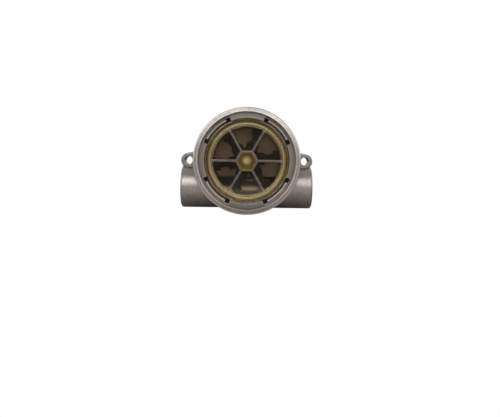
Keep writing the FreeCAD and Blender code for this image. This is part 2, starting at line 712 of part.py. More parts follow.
def make_range_insert():
    """The sleeve in the inlet passage that sets the flow range, with a funnel at each end."""
    body = new_body("range_insert")
    start = size("thread_length - length_over_ports / 2")
    along = FreeCAD.Rotation(FreeCAD.Vector(0, 1, 0), 90)
    place = FreeCAD.Vector(start, -size(PORT_LEVEL), -size(PORT_DROP))
    body.Placement = FreeCAD.Placement(place, along)
    section = new_sketch(body, "insert_section", "XZ_Plane")
    funnel = "(insert_orifice / 2 + insert_taper)"
    draw_outline(section, [
        ("passage_diameter / 2", "0"), ("passage_diameter / 2", "insert_length"), (funnel, "insert_length"),
        ("insert_orifice / 2", "insert_length - insert_taper"), ("insert_orifice / 2", "insert_taper"),
        (funnel, "0"),
    ])
    turn(body, section)
    return body


def lead_places():
    """The x of each lead of the pick-up."""
    return [f"{step} * lead_pitch" for step in (-1, 0, 1)]


def contact_places():
    """The x of each contact of the connector, about the middle one."""
    count = round(size("contact_count"))
    return [f"({index} - (contact_count - 1) / 2) * contact_pitch" for index in range(count)]


def make_circuit_board():
    """The round board with its screw holes and its holes for leads and contacts."""
    body = new_body("circuit_board")
    disc = new_sketch(body, "board_disc", lift=BOARD_BACK)
    draw_circle(disc, "0", "0", BOARD_R)
    pad(body, disc, "board_thickness")
    screw = new_sketch(body, "board_screw_hole", lift=BOARD_FRONT)
    draw_circle(screw, *polar(POST_CIRCLE_R, "30"), "board_screw_diameter / 2 + screw_clearance")
    repeat(body, [pocket(body, screw, "board_thickness")], "post_count")
    leads = new_sketch(body, "lead_holes", lift=BOARD_FRONT)
    for x in lead_places():
        draw_circle(leads, x, LEAD_Y, "lead_width / sqrt(2)")
    pocket(body, leads, "board_thickness")
    contacts = new_sketch(body, "contact_holes", lift=BOARD_FRONT)
    for x in contact_places():
        draw_circle(contacts, x, HEADER_Y, "contact_width / sqrt(2)")
    pocket(body, contacts, "board_thickness")
    return body


def make_hall_sensor():
    """The pick-up in its pocket behind the magnets, with leads bent back to the board."""
    body = new_body("hall_sensor")
    face = f"({CAVITY_FLOOR} + hall_pocket_depth - hall_pocket_gap)"
    back = f"({face} - hall_thickness)"
    case = new_sketch(body, "hall_case", lift=back)
    draw_box(case, "0", HALL_Y, "hall_width", "hall_height")
    pad(body, case, "hall_thickness")
    for index, x in enumerate(lead_places()):
        foot = new_sketch(body, f"lead_foot_{index + 1}", lift=f"{back} + hall_thickness / 2")
        draw_outline(foot, [
            (f"{x} - lead_width / 2", f"{LEAD_Y} - lead_width / 2"),
            (f"{x} + lead_width / 2", f"{LEAD_Y} - lead_width / 2"),
            (f"{x} + lead_width / 2", HALL_Y), (f"{x} - lead_width / 2", HALL_Y),
        ])
        pad(body, foot, "lead_width")
        lead = new_sketch(body, f"lead_{index + 1}", lift=f"{BOARD_BACK} - lead_tail")
        draw_box(lead, x, LEAD_Y, "lead_width", "lead_width")
        pad(body, lead, f"{back} + hall_thickness / 2 + lead_width - ({BOARD_BACK} - lead_tail)")
    return body


def make_output_chip():
    """The output driver on the back of the board, with four legs a side."""
    body = new_body("output_chip")
    case = new_sketch(body, "chip_case", lift=f"{BOARD_BACK} - chip_leg_height / 4")
    draw_box(case, "0", "chip_rise", "chip_length", "chip_width")
    pad(body, case, "chip_thickness", reverse=True)
    for name, level, reach, height in (
            ("foot", BOARD_BACK, "chip_leg_reach", "chip_leg_width / 2"),
            ("knee", BOARD_BACK, "chip_leg_reach / 2", "chip_leg_height")):
        legs = new_sketch(body, f"chip_{name}", lift=level)
        for step in range(4):
            x = f"({step} - 1.5) * chip_leg_pitch"
            draw_box(legs, x, "chip_rise", "chip_leg_width", f"chip_width + 2 * {reach}")
        pad(body, legs, height, reverse=True)
    return body


def make_chip_capacitors():
    """Two chip capacitors each side of the connector, on the back of the board."""
    body = new_body("chip_capacitors")
    blocks = new_sketch(body, "capacitor_blocks", lift=BOARD_BACK)
    beside = "(header_width / 2 + header_flange + capacitor_gap)"
    for x in (beside, f"-{beside}"):
        for y in ("capacitor_pitch / 2", "-capacitor_pitch / 2"):
            draw_box(blocks, x, f"{HEADER_Y} + {y}", "capacitor_width", "capacitor_length")
    pad(body, blocks, "capacitor_height", reverse=True)
    return body


def make_screws(label, count, circle, angle, seat, diameter, length, head_diameter, head_height):
    """Pan-head screws in a ring, driven from behind, each with a crossed slot."""
    body = new_body(label)
    body.Placement = FreeCAD.Placement(FreeCAD.Vector(), UPRIGHT * FreeCAD.Rotation(UP, angle))
    section = new_sketch(body, f"{label}_section", "XZ_Plane", shift=circle)
    head_back = f"{seat} - {head_height}"
    crown = f"{head_diameter} / 4"
    draw_outline(section, [
        ("0", head_back), (crown, head_back), (f"{head_diameter} / 2", f"{seat} - {head_height} / 2"),
        (f"{head_diameter} / 2", seat), (f"{diameter} / 2", seat),
        (f"{diameter} / 2", f"{seat} + {length} - {diameter} / 4"),
        (f"{diameter} / 4", f"{seat} + {length}"), ("0", f"{seat} + {length}"),
    ])
    shank = turn(body, section)
    slots = []
    for name, width, height in (("across", f"{head_diameter} / 2", "drive_slot_width"),
                                ("upright", "drive_slot_width", f"{head_diameter} / 2")):
        slot = new_sketch(body, f"{label}_slot_{name}", lift=head_back)
        draw_box(slot, circle, "0", width, height)
        slots.append(pocket(body, slot, "drive_slot_depth", reverse=True))
    repeat(body, [shank, *slots], count)
    return body


def make_board_screws():
    """The screws that hold the board to its posts."""
    return make_screws("board_screws", "post_count", POST_CIRCLE_R, 30, BOARD_BACK,
                       "board_screw_diameter", "board_screw_length", "board_head_diameter", "board_head_height")


def make_cover_screws():
    """The screws that hold the rear cover to the body."""
    return make_screws("cover_screws", "cover_screw_count", SCREW_CIRCLE_R, 45, COVER_BACK,
                       "cover_screw_diameter", "cover_screw_length", "cover_head_diameter", "cover_head_height")


def make_connector_header():
    """The shrouded header: a socket that stands out of the cover, and a flange under its seal."""
    body = new_body("connector_header")
    shroud = new_sketch(body, "shroud", lift=HEADER_BACK)
    draw_box(shroud, "0", HEADER_Y, "header_width", "header_height")
    pad(body, shroud, f"{BOARD_BACK} - {HEADER_BACK}")
    flange = new_sketch(body, "header_flange", lift=FLANGE_REAR)
    draw_box(flange, "0", HEADER_Y, "header_width + 2 * header_flange", "header_height + 2 * header_flange")
    pad(body, flange, "header_flange_thickness")
    socket = new_sketch(body, "header_socket", lift=HEADER_BACK)
    draw_box(socket, "0", HEADER_Y, "header_width - 2 * header_wall", "header_height - 2 * header_wall")
    pocket(body, socket, "header_socket_depth", reverse=True)
    holes = new_sketch(body, "contact_slots", lift=BOARD_BACK)
    for x in contact_places():
        draw_box(holes, x, HEADER_Y, "contact_width", "contact_width")
    pocket(body, holes, f"{BOARD_BACK} - {HEADER_BACK} - header_socket_depth")
    return body


def make_contacts():
    """Square contacts with pointed tips, from the board into the socket of the header."""
    contacts = []
    for index, x in enumerate(contact_places()):
        body = new_body(f"contact_pin_{index + 1}")
        tip = f"({HEADER_BACK} + contact_setback)"
        tail = f"({BOARD_FRONT} + lead_tail)"
        stem = new_sketch(body, f"contact_stem_{index + 1}", lift=tip)
        draw_box(stem, x, HEADER_Y, "contact_width", "contact_width")
        pad(body, stem, f"{tail} - {tip}")
        bevel_edges(body, "contact_tip", lambda edge: at_level(edge, tip))
        contacts.append(body)
    return contacts


def make_connector_seal():
    """The soft frame between the flange of the header and the inside of the cover."""
    body = new_body("connector_seal")
    frame = new_sketch(body, "seal_frame", lift=COVER_FRONT)
    draw_box(frame, "0", HEADER_Y, "header_width + 2 * header_flange", "header_height + 2 * header_flange")
    draw_box(frame, "0", HEADER_Y, "header_width", "header_height")
    pad(body, frame, "header_seal_thickness")
    return body


def make_cover_plate(label, level, thickness, screw_hole):
    """A round plate with the screw holes of the rear cover."""
    body = new_body(label)
    disc = new_sketch(body, f"{label}_disc", lift=level)
    draw_circle(disc, "0", "0", COVER_R)
    pad(body, disc, thickness)
    hole = new_sketch(body, f"{label}_hole", lift=f"{level} + {thickness}")
    draw_circle(hole, *polar(SCREW_CIRCLE_R, "45"), screw_hole)
    repeat(body, [pocket(body, hole, thickness)], "cover_screw_count")
    return body


def make_rear_gasket():
    """The flat gasket under the cover, with an eye round each screw."""
    screw_hole = "cover_screw_diameter / 2 + screw_clearance"
    body = make_cover_plate("rear_gasket", COVER_FRONT, "gasket_thickness", screw_hole)
    opening = new_sketch(body, "gasket_opening", lift=DRUM_BACK)
    draw_circle(opening, "0", "0", CAVITY_R)
    pocket(body, opening, "gasket_thickness")
    eye = new_sketch(body, "gasket_eye", lift=COVER_FRONT)
    draw_circle(eye, *polar(SCREW_CIRCLE_R, "45"), "screw_boss_diameter / 2")
    draw_circle(eye, *polar(SCREW_CIRCLE_R, "45"), screw_hole)
    repeat(body, [pad(body, eye, "gasket_thickness")], "cover_screw_count")
    return body


def make_rear_cover():
    """The moulded cover: a plate with a window for the header and a low collar round it."""
    screw_hole = "cover_screw_diameter / 2 + screw_clearance"
    body = make_cover_plate("rear_cover", COVER_BACK, "cover_thickness", screw_hole)
    round_edges(body, "cover_edge_radius", lambda edge: is_circle(edge, COVER_R) and at_level(edge, COVER_BACK))
    window_width, window_height = "header_width + 2 * window_gap", "header_height + 2 * window_gap"
    collar = new_sketch(body, "window_collar", lift=COVER_BACK)
    draw_box(collar, "0", HEADER_Y, f"{window_width} + 2 * window_collar",
             f"{window_height} + 2 * window_collar")
    pad(body, collar, "window_collar_height", reverse=True)
    window = new_sketch(body, "header_window", lift=COVER_FRONT)
    draw_box(window, "0", HEADER_Y, window_width, window_height)
    pocket(body, window, "cover_thickness + window_collar_height")
    return body


def make_pieces():
    """Every piece of the sensor, from the casting outwards."""
    return [
        make_flow_body(), make_range_insert(), make_rotor_shaft(), make_rotor(), *make_magnets(),
        make_front_lens(), make_lens_seal(), make_circuit_board(), make_board_screws(), make_hall_sensor(),
        make_output_chip(), make_chip_capacitors(), make_connector_header(), *make_contacts(),
        make_connector_seal(), make_rear_gasket(), make_rear_cover(), make_cover_screws(),
    ]


def check(pieces):
    """Stop where an object failed or a piece has no sound solid."""
    failed = [item.Name for item in doc.Objects if {"Invalid", "Error"} & set(item.State)]
    unsound = [piece.Label for piece in pieces if piece.Shape.isNull() or not piece.Shape.isValid()]
    if failed or unsound:
        raise RuntimeError(f"failed: {failed}, unsound: {unsound}")


pieces = make_pieces()
doc.recompute()
check(pieces)
os.makedirs("parts", exist_ok=True)
for piece in pieces:
    piece.Shape.exportStep(f"parts/{piece.Label}.step")
    print(f"{piece.Label}: {len(piece.Shape.Solids)} solid, {piece.Shape.Volume:.1f} mm3")
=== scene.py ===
"""Looks for a paddle wheel flow sensor: finishes for its pieces, pipe threads, solder and a studio."""
import json
import logging
import math
from collections.abc import Callable, Sequence
from dataclasses import dataclass, field
from enum import Enum

import bmesh
import bpy
from bpy.types import ID, Material, Node, NodeSocket, NodeTree, Object
from mathutils import Matrix, Vector


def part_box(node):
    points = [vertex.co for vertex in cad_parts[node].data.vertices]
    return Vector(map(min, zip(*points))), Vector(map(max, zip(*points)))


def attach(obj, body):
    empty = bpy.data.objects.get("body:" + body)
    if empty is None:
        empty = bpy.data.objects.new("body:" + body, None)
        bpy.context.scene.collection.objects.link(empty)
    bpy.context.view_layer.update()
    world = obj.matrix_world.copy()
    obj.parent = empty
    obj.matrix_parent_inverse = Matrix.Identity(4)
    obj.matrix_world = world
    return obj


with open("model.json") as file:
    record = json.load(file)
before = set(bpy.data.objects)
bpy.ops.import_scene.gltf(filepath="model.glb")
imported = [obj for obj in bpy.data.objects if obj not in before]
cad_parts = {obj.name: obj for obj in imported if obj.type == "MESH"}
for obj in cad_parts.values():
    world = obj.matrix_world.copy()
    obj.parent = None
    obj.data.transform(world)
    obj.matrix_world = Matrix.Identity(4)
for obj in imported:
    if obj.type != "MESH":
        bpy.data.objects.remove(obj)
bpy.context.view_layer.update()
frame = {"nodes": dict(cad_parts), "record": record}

Colour = tuple[float, float, float]
Place = tuple[float, float, float]
Span = tuple[float, float]
Value = float | Sequence[float] | NodeSocket

LOG = logging.getLogger("flow_sensor")
MM = 0.001


class Body(Enum):
    """The bodies that the pieces made here ride on."""

    CASTING = "body"


class Effect(Enum):
    """The surface effects that more than one finish uses."""

    GRAIN = "fine_grain"
    MOTTLE = "soft_mottle"
    WEAR = "edge_wear"
    DIRT_AND_SHADE = "corner_dirt_and_shade"
    RINGS = "turned_rings"


class Graph:
    """Short ways to add and join the nodes of one tree."""

    def __init__(self, tree: NodeTree) -> None:
        """Take the tree that the nodes go into."""
        self.tree = tree

    def add(self, kind: str, **settings: object) -> Node:
        """Add a node.

        Args:
            kind: The node's type, without its ShaderNode prefix.
            settings: Properties to set on it.

        Returns:
            The new node.
        """
        node = self.tree.nodes.new(f"ShaderNode{kind}")
        for name, value in settings.items():
            setattr(node, name, value)
        return node

    def feed(self, socket: NodeSocket, value: Value) -> None:
        """Link a socket to another, or set its plain value.

        Args:
            socket: The input to feed.
            value: An output to link, or a number, vector or colour.
        """
        if isinstance(value, NodeSocket):
            self.tree.links.new(value, socket)
        else:
            socket.default_value = value

    def add_fed(self, kind: str, inputs: dict[str | int, Value], **settings: object) -> Node:
        """Add a node and feed its inputs.

        Args:
            kind: The node's type, without its ShaderNode prefix.
            inputs: What goes into each input, by its name or number.
            settings: Properties to set on it.

        Returns:
            The new node.
        """
        node = self.add(kind, **settings)
        for name, value in inputs.items():
            self.feed(node.inputs[name], value)
        return node

    def math(self, operation: str, *values: Value) -> NodeSocket:
        """Work out numbers.

        Args:
            operation: The Math node's operation.
            values: Its inputs, in order.

        Returns:
            The result.
        """
        return self.add_fed("Math", dict(enumerate(values)), operation=operation).outputs[0]

    def vector(self, operation: str, *values: Value) -> Node:
        """Work out vectors.

        Args:
            operation: The Vector Math node's operation.
            values: Its inputs, in order.

        Returns:
            The node, which has a Vector and a Value output.
        """
        return self.add_fed("VectorMath", dict(enumerate(values)), operation=operation)

    def ease(self, value: Value, low: Value, high: Value) -> NodeSocket:
        """Turn a value into a mask that eases from 0 at low to 1 at high.

        Args:
            value: The value to read.
            low: Where the mask is 0.
            high: Where the mask is 1.

        Returns:
            The mask.
        """
        inputs = {"Value": value, "From Min": low, "From Max": high}
        return self.add_fed("MapRange", inputs, interpolation_type="SMOOTHSTEP").outputs["Result"]

    def spread(self, share: Value, low: Value, high: Value) -> NodeSocket:
        """Spread a mask from 0 to 1 over a range.

        Args:
            share: The mask.
            low: The value at 0.
            high: The value at 1.

        Returns:
            The value in that range.
        """
        inputs = {"Value": share, "To Min": low, "To Max": high}
        return self.add_fed("MapRange", inputs).outputs["Result"]

    def mix(self, share: Value, first: Value, second: Value) -> NodeSocket:
        """Mix two colours.

        Args:
            share: How much of the second colour shows.
            first: The first colour.
            second: The second colour.

        Returns:
            The mixed colour.
        """
        inputs = {0: share, 6: rgba(first), 7: rgba(second)}
        return self.add_fed("Mix", inputs, data_type="RGBA").outputs[2]

    def place(self) -> NodeSocket:
        """The point on the surface, in metres."""
        return self.add("TexCoord").outputs["Object"]

    def reach(self, directions: Sequence[float], centre: Sequence[float] = (0.0, 0.0, 0.0)) -> NodeSocket:
        """How far the surface is from a point.

        Args:
            directions: 1 for each of x, y and z that counts, and 0 for the others.
            centre: The point.

        Returns:
            The distance in metres.
        """
        offset = self.vector("SUBTRACT", self.place(), centre).outputs["Vector"]
        across = self.vector("MULTIPLY", offset, directions).outputs["Vector"]
        return self.vector("LENGTH", across).outputs["Value"]

    def from_axis(self) -> NodeSocket:
        """How far the surface is from the rotor axis, in metres."""
        return self.reach((1.0, 0.0, 1.0))

    def behind_ears(self) -> NodeSocket:
        """How far the surface is behind the face of the ears, in metres."""
        return self.vector("DOT_PRODUCT", self.place(), (0.0, 1.0, 0.0)).outputs["Value"]

    def height(self) -> NodeSocket:
        """How high the surface is above the rotor axis, in metres."""
        return self.vector("DOT_PRODUCT", self.place(), (0.0, 0.0, 1.0)).outputs["Value"]

    def both(self, first: Value, second: Value) -> NodeSocket:
        """Two masks, or a mask and a strength, multiplied."""
        return self.math("MULTIPLY", first, second)

    def band(self, value: Value, start: Span, end: Span) -> NodeSocket:
        """Turn a value into a mask that eases in and out again.

        Args:
            value: The value to read.
            start: Where the mask leaves 0, and where it reaches 1.
            end: Where the mask is back at 0, and where it leaves 1.

        Returns:
            The mask.
        """
        return self.both(self.ease(value, *start), self.ease(value, *end))

    def noise(self, scale: Value, detail: Value = 2.0, roughness: float = 0.5) -> NodeSocket:
        """Even noise over the surface.

        Args:
            scale: Waves per metre.
            detail: Finer layers of noise.
            roughness: How strong the finer layers are.

        Returns:
            A value from 0 to 1.
        """
        inputs = {"Vector": self.place(), "Scale": scale, "Detail": detail, "Roughness": roughness}
        return self.add_fed("TexNoise", inputs).outputs["Fac"]


def rgba(colour: Value) -> Value:
    """Give a plain colour its fourth number, and leave a socket as it is."""
    return colour if isinstance(colour, NodeSocket) else (*colour[:3], 1.0)


@dataclass
class EffectKit:
    """The shared effects, each built as a node group when it is first placed."""

    trees: dict[Effect, NodeTree] = field(default_factory=dict)
    fine_rough: float = 0.6
    coarse_scale: float = 0.23
    coarse_detail: float = 1.0
    coarse_share: float = 0.3
    fleck_band: Span = (0.35, 0.65)
    cloud_rough: float = 0.55
    cloud_band: Span = (0.32, 0.68)
    occlusion_samples: int = 6
    patch_detail: float = 3.0
    edge_band: Span = (0.92, 0.45)
    wear_band: Span = (0.3, 0.62)
    corner_band: Span = (0.85, 0.3)
    grime_and_shade_range: Span = (0.55, 1.1)
    waver_scale: float = 900.0

    def place(self, graph: Graph, effect: Effect, **values: Value) -> Node:
        """Place an effect in a material.

        Args:
            graph: The material's nodes.
            effect: Which effect.
            values: Its inputs, by their names in lower case.

        Returns:
            The group node.
        """
        if effect not in self.trees:
            self.trees[effect] = getattr(self, f"make_{effect.value}")()
        inputs = {name.capitalize(): value for name, value in values.items()}
        return graph.add_fed("Group", inputs, node_tree=self.trees[effect])

    def begin(self, effect: Effect, inputs: dict[str, str],
              outputs: Sequence[str]) -> tuple[Graph, Node, Node]:
        """Start a group.

        Args:
            effect: The effect that names it.
            inputs: Each input's name and kind of socket.
            outputs: The names of its float outputs.

        Returns:
            The group's graph, its input node and its output node.
        """
        tree = bpy.data.node_groups.new(effect.value, "ShaderNodeTree")
        for name, kind in inputs.items():
            tree.interface.new_socket(name=name, in_out="INPUT", socket_type=f"NodeSocket{kind}")
        for name in outputs:
            tree.interface.new_socket(name=name, in_out="OUTPUT", socket_type="NodeSocketFloat")
        return Graph(tree), tree.nodes.new("NodeGroupInput"), tree.nodes.new("NodeGroupOutput")

    def begin_patches(self, effect: Effect, inside: bool,
                      band: Span) -> tuple[Graph, Node, NodeSocket, NodeSocket]:
        """Start a group that marks edges or corners in patches, as Mask.

        Args:
            effect: The effect that names it.
            inside: Whether to look into the solid, for its edges, or out of it, for its corners.
            band: The openness at which the mark starts, and at which it is full.

        Returns:
            The group's graph, its output node, the mark and the noise that breaks it up.
        """
        inputs = {"Reach": "Float", "Breakup": "Float"}
        graph, given, result = self.begin(effect, inputs, ["Mask"])
        room = graph.add_fed("AmbientOcclusion", {"Distance": given.outputs["Reach"]}, inside=inside,
                             only_local=True, samples=self.occlusion_samples)
        mark = graph.ease(room.outputs["AO"], *band)
        scale = graph.math("DIVIDE", 1.0, given.outputs["Breakup"])
        return graph, result, mark, graph.noise(scale, self.patch_detail, self.fine_rough)

    def make_fine_grain(self) -> NodeTree:
        """Grain of a blasted, moulded or fired surface: Height for a bump and Fleck for its colour."""
        inputs = {"Size": "Float", "Detail": "Float"}
        graph, given, result = self.begin(Effect.GRAIN, inputs, ["Height", "Fleck"])
        scale = graph.math("DIVIDE", 1.0, given.outputs["Size"])
        fine = graph.noise(scale, given.outputs["Detail"], self.fine_rough)
        coarse = graph.noise(graph.math("MULTIPLY", scale, self.coarse_scale), self.coarse_detail)
        height = graph.math("ADD", graph.math("MULTIPLY", fine, 1 - self.coarse_share),
                            graph.math("MULTIPLY", coarse, self.coarse_share))
        graph.feed(result.inputs["Height"], height)
        graph.feed(result.inputs["Fleck"], graph.ease(fine, *self.fleck_band))
        return graph.tree

    def make_soft_mottle(self) -> NodeTree:
        """Slow, cloudy change over a surface, as Mask."""
        graph, given, result = self.begin(Effect.MOTTLE, {"Size": "Float"}, ["Mask"])
        scale = graph.math("DIVIDE", 1.0, given.outputs["Size"])
        clouds = graph.noise(scale, self.patch_detail, self.cloud_rough)
        graph.feed(result.inputs["Mask"], graph.ease(clouds, *self.cloud_band))
        return graph.tree

    def make_edge_wear(self) -> NodeTree:
        """Rubbed outer edges, broken up by noise, as Mask."""
        graph, result, edge, patches = self.begin_patches(Effect.WEAR, True, self.edge_band)
        graph.feed(result.inputs["Mask"], graph.both(edge, graph.ease(patches, *self.wear_band)))
        return graph.tree

    def make_corner_dirt_and_shade(self) -> NodeTree:
        """Dirt that gathers in inner corners, with painted shade there, as Mask."""
        graph, result, corner, patches = self.begin_patches(Effect.DIRT_AND_SHADE, False, self.corner_band)
        graph.feed(result.inputs["Mask"], graph.both(corner, graph.spread(patches, *self.grime_and_shade_range)))
        return graph.tree

    def make_turned_rings(self) -> NodeTree:
        """Fine rings that a tool leaves about an axis, as Height."""
        inputs = {"Centre": "Vector", "Axis": "Vector", "Pitch": "Float"}
        graph, given, result = self.begin(Effect.RINGS, inputs, ["Height"])
        offset = graph.vector("SUBTRACT", graph.place(), given.outputs["Centre"]).outputs["Vector"]
        along = graph.vector("DOT_PRODUCT", offset, given.outputs["Axis"]).outputs["Value"]
        radius = graph.vector("LENGTH", graph.vector(
            "CROSS_PRODUCT", offset, given.outputs["Axis"]).outputs["Vector"]).outputs["Value"]
        waver = graph.math("MULTIPLY", graph.noise(self.waver_scale), given.outputs["Pitch"])
        distance = graph.math("ADD", graph.math("ADD", radius, along), waver)
        turns = graph.math("DIVIDE", distance, given.outputs["Pitch"])
        graph.feed(result.inputs["Height"], graph.math("PINGPONG", turns, 1.0))
        return graph.tree


EFFECTS = EffectKit()


def new_material(name: str) -> tuple[Material, Graph, Node]:
    """Start a material.

    Args:
        name: Its name.

    Returns:
        The material, its graph and its Principled shader.
    """
    material = bpy.data.materials.new(name)
    material.use_nodes = True
    graph = Graph(material.node_tree)
    return material, graph, graph.tree.nodes["Principled BSDF"]


@dataclass(frozen=True)
class Finish:
    """A solid surface with mottled colour, grain, rubbed edges and grime in its corners, which is also
    painted shade.
    """

    name: str
    slot: str
    colour: Colour
    shade: Colour
    rough: Span
    metallic: float = 0.0
    specular: float = 0.5
    mottle_size: float = 6 * MM
    grain_size: float = 0.25 * MM
    grain_depth: float = 0.008 * MM
    wear_colour: Colour | None = None
    wear_reach: float = 0.5 * MM
    grime_and_shade_colour: Colour | None = None
    grime_and_shade_reach: float = 2 * MM
    grime_and_shade_share: float = 0.6
    grain_detail: float = 3.0
    grime_rough: float = 0.2
    grime_patches: float = 3.0
    wear_polish: float = 0.1
    wear_patches: float = 4.0

    def material(self) -> Material:
        """Build the material.

        Returns:
            The material, with a Principled shader and everything that feeds it.
        """
        material, graph, shader = new_material(self.name)
        shader.inputs["Metallic"].default_value = self.metallic
        shader.inputs["Specular IOR Level"].default_value = self.specular
        grain = EFFECTS.place(graph, Effect.GRAIN, size=self.grain_size, detail=self.grain_detail)
        mottle = EFFECTS.place(graph, Effect.MOTTLE, size=self.mottle_size).outputs["Mask"]
        colour = self.paint(graph, graph.mix(mottle, self.colour, self.shade))
        roughness = graph.spread(graph.both(mottle, grain.outputs["Fleck"]), *self.rough)
        # Grime with painted shade: inner corners found by occlusion take a colour of their own.
        if self.grime_and_shade_colour:
            grime = EFFECTS.place(graph, Effect.DIRT_AND_SHADE, reach=self.grime_and_shade_reach,
                                  breakup=self.mottle_size / self.grime_patches)
            share = graph.math("MULTIPLY", grime.outputs["Mask"], self.grime_and_shade_share)
            colour = graph.mix(share, colour, self.grime_and_shade_colour)
            roughness = graph.math("ADD", roughness, graph.math("MULTIPLY", share, self.grime_rough))
        if self.wear_colour:
            wear = EFFECTS.place(graph, Effect.WEAR, reach=self.wear_reach,
                                 breakup=self.mottle_size / self.wear_patches).outputs["Mask"]
            colour = graph.mix(wear, colour, self.wear_colour)
            roughness = graph.math("SUBTRACT", roughness, graph.math("MULTIPLY", wear, self.wear_polish))
        graph.feed(shader.inputs["Base Color"], self.polish_and_light(graph, colour))
        graph.feed(shader.inputs["Roughness"], self.blunt(graph, roughness))
        height = self.relief(graph, grain.outputs["Height"])
        bump = graph.add_fed("Bump", {"Distance": self.grain_depth, "Height": height})
        graph.feed(shader.inputs["Normal"], bump.outputs["Normal"])
        return material

    def paint(self, graph: Graph, colour: NodeSocket) -> NodeSocket:
        """The colour before wear and grime, which a finish may add to."""
        return colour

    def polish_and_light(self, graph: Graph, colour: NodeSocket) -> NodeSocket:
        """The colour after wear and grime with painted shade, to which a finish may add painted light."""
        return colour

    def blunt(self, graph: Graph, roughness: NodeSocket) -> NodeSocket:
        """The roughness after wear and grime, which a finish may add to."""
        return roughness

    def relief(self, graph: Graph, height: NodeSocket) -> NodeSocket:
        """The height of the surface, which a finish may add to."""
        return height


@dataclass(frozen=True)
class CastFinish(Finish):
    """Flecked cast metal with stains and painted shade round the lens, darker in the chamber.

    It is rubbed bright with painted highlights on the tab rests and on both edges of the rim, has painted
    shade beside the rim and across the lower chamber, painted light at the foot of the rim wall and at the
    bottom of the chamber, and is turned bright on the seat under the lens, which is painted near white as
    painted light.
    """

    fleck_colour: Colour = (0.6, 0.54, 0.51)
    fleck_size: float = 0.9 * MM
    fleck_detail: float = 2.0
    fleck_share: float = 0.45
    # Painted shade on the ears, their webs and the tops of the ports beside the rim.
    web_shade_colour: Colour = (0.32, 0.285, 0.268)
    web_shade_radius: Span = (25.5 * MM, 26 * MM)
    web_shade_height: Span = (-7 * MM, 3 * MM)
    covered_radius: Span = (17 * MM, 20 * MM)
    # The metal inside the chamber is darker than outside.
    chamber_colour: Colour = (0.225, 0.18, 0.205)
    # Painted shade in a band across the lower chamber, and painted light at its bottom.
    pool_shade_colour: Colour = (0.075, 0.055, 0.062)
    pool_shade_height: Span = (-12.3 * MM, -7 * MM)
    lit_bottom_colour: Colour = (0.45, 0.38, 0.38)
    # Stain with painted shade in the recess round the lens; the lugs are painted darker towards the rim wall.
    stain_and_shade_colour: Colour = (0.2, 0.165, 0.142)
    stain_and_shade_share: float = 0.9
    mask_edge: float = 0.4 * MM
    recess_radius: float = 23.1 * MM
    recess_level: float = -0.9 * MM
    recess_front: float = -5.6 * MM
    lug_stain_shade_share: Span = (0.55, 0.95)
    lug_stain_shade_radius: Span = (20.4 * MM, 22.6 * MM)
    # Dirt with painted shade on the recess floor, and painted shadow in the pits beside the lugs.
    groove_dirt_and_shade_colour: Colour = (0.1, 0.083, 0.072)
    pit_shadow_colour: Colour = (0.03, 0.025, 0.022)
    pit_share: Span = (0.5, 0.58)
    # Painted light: the foot of the rim wall is painted paler than the clean metal, over the grime.
    foot_light_colour: Colour = (0.46, 0.41, 0.385)
    foot_radius: float = 22.25 * MM
    foot_level: Span = (-3.4 * MM, -2.8 * MM)
    foot_edge: float = 0.15 * MM
    # Painted light: the turned seat is painted near white so that the bead over it glows.
    seat_glow_colour: Colour = (0.95, 0.9, 0.8)
    seat_radius: Span = (16.95 * MM, 19.3 * MM)
    seat_level: float = 1.2 * MM
    seat_edge: float = 0.1 * MM
    seat_rough: float = 0.22
    # Rubbed wear with painted highlights on the tab rests and on the inner (lip) and outer (brim) edges of
    # the rim.
    rubbed_highlight_colour: Colour = (0.58, 0.52, 0.49)
    rubbed_highlight_radius: Span = (20.9 * MM, 22.4 * MM)
    rubbed_highlight_level: Span = (-1.95 * MM, -1.45 * MM)
    rubbed_highlight_edge: float = 0.2 * MM
    rubbed_highlight_fade: float = 0.3 * MM
    lip_highlight_colour: Colour = (0.72, 0.66, 0.62)
    lip_radius: float = 23.5 * MM
    lip_level: float = -5.7 * MM
    brim_highlight_colour: Colour = (0.78, 0.72, 0.68)
    brim_radius: Span = (24.5 * MM, 25.1 * MM)
    brim_level: Span = (-2.6 * MM, -3.6 * MM)

    def paint(self, graph: Graph, colour: NodeSocket) -> NodeSocket:
        """Metal with its stains and painted shade, and darker in the chamber.

        Args:
            graph: The material's nodes.
            colour: The clean metal.

        Returns:
            The colour of both.
        """
        radius, level, edge = graph.from_axis(), graph.behind_ears(), self.mask_edge
        inner, outer = self.covered_radius
        chamber = graph.ease(radius, inner + edge, inner)
        groove = graph.band(radius, (outer, outer + edge), (self.recess_radius + edge, self.recess_radius))
        front = graph.ease(level, self.recess_front - edge, self.recess_front)
        deep = graph.ease(level, self.recess_level - edge, self.recess_level)
        # Stain with painted shade on the lugs, darker towards the rim wall, and on the floor of the recess.
        lug_stain_shade = graph.spread(graph.ease(radius, *self.lug_stain_shade_radius), *self.lug_stain_shade_share)
        depth = graph.math("MAXIMUM", graph.both(front, lug_stain_shade), graph.both(deep, self.stain_and_shade_share))
        chamber_tone = graph.mix(graph.both(chamber, depth), self.outside(graph, colour), self.inside(graph))
        darkened = graph.mix(graph.both(groove, depth), chamber_tone, self.stain_and_shade_colour)
        # Dirt with painted shade on the recess floor, and painted shadow in the pits beside the lugs.
        groove_shade = graph.mix(self.pits(graph), self.groove_dirt_and_shade_colour, self.pit_shadow_colour)
        return graph.mix(graph.both(groove, deep), darkened, groove_shade)

    def outside(self, graph: Graph, colour: NodeSocket) -> NodeSocket:
        """Metal with flecks, and painted shade between the rim, the ears and the ports.

        Args:
            graph: The material's nodes.
            colour: The clean metal.

        Returns:
            The colour of all three.
        """
        (bottom, top), edge = self.web_shade_height, self.mask_edge
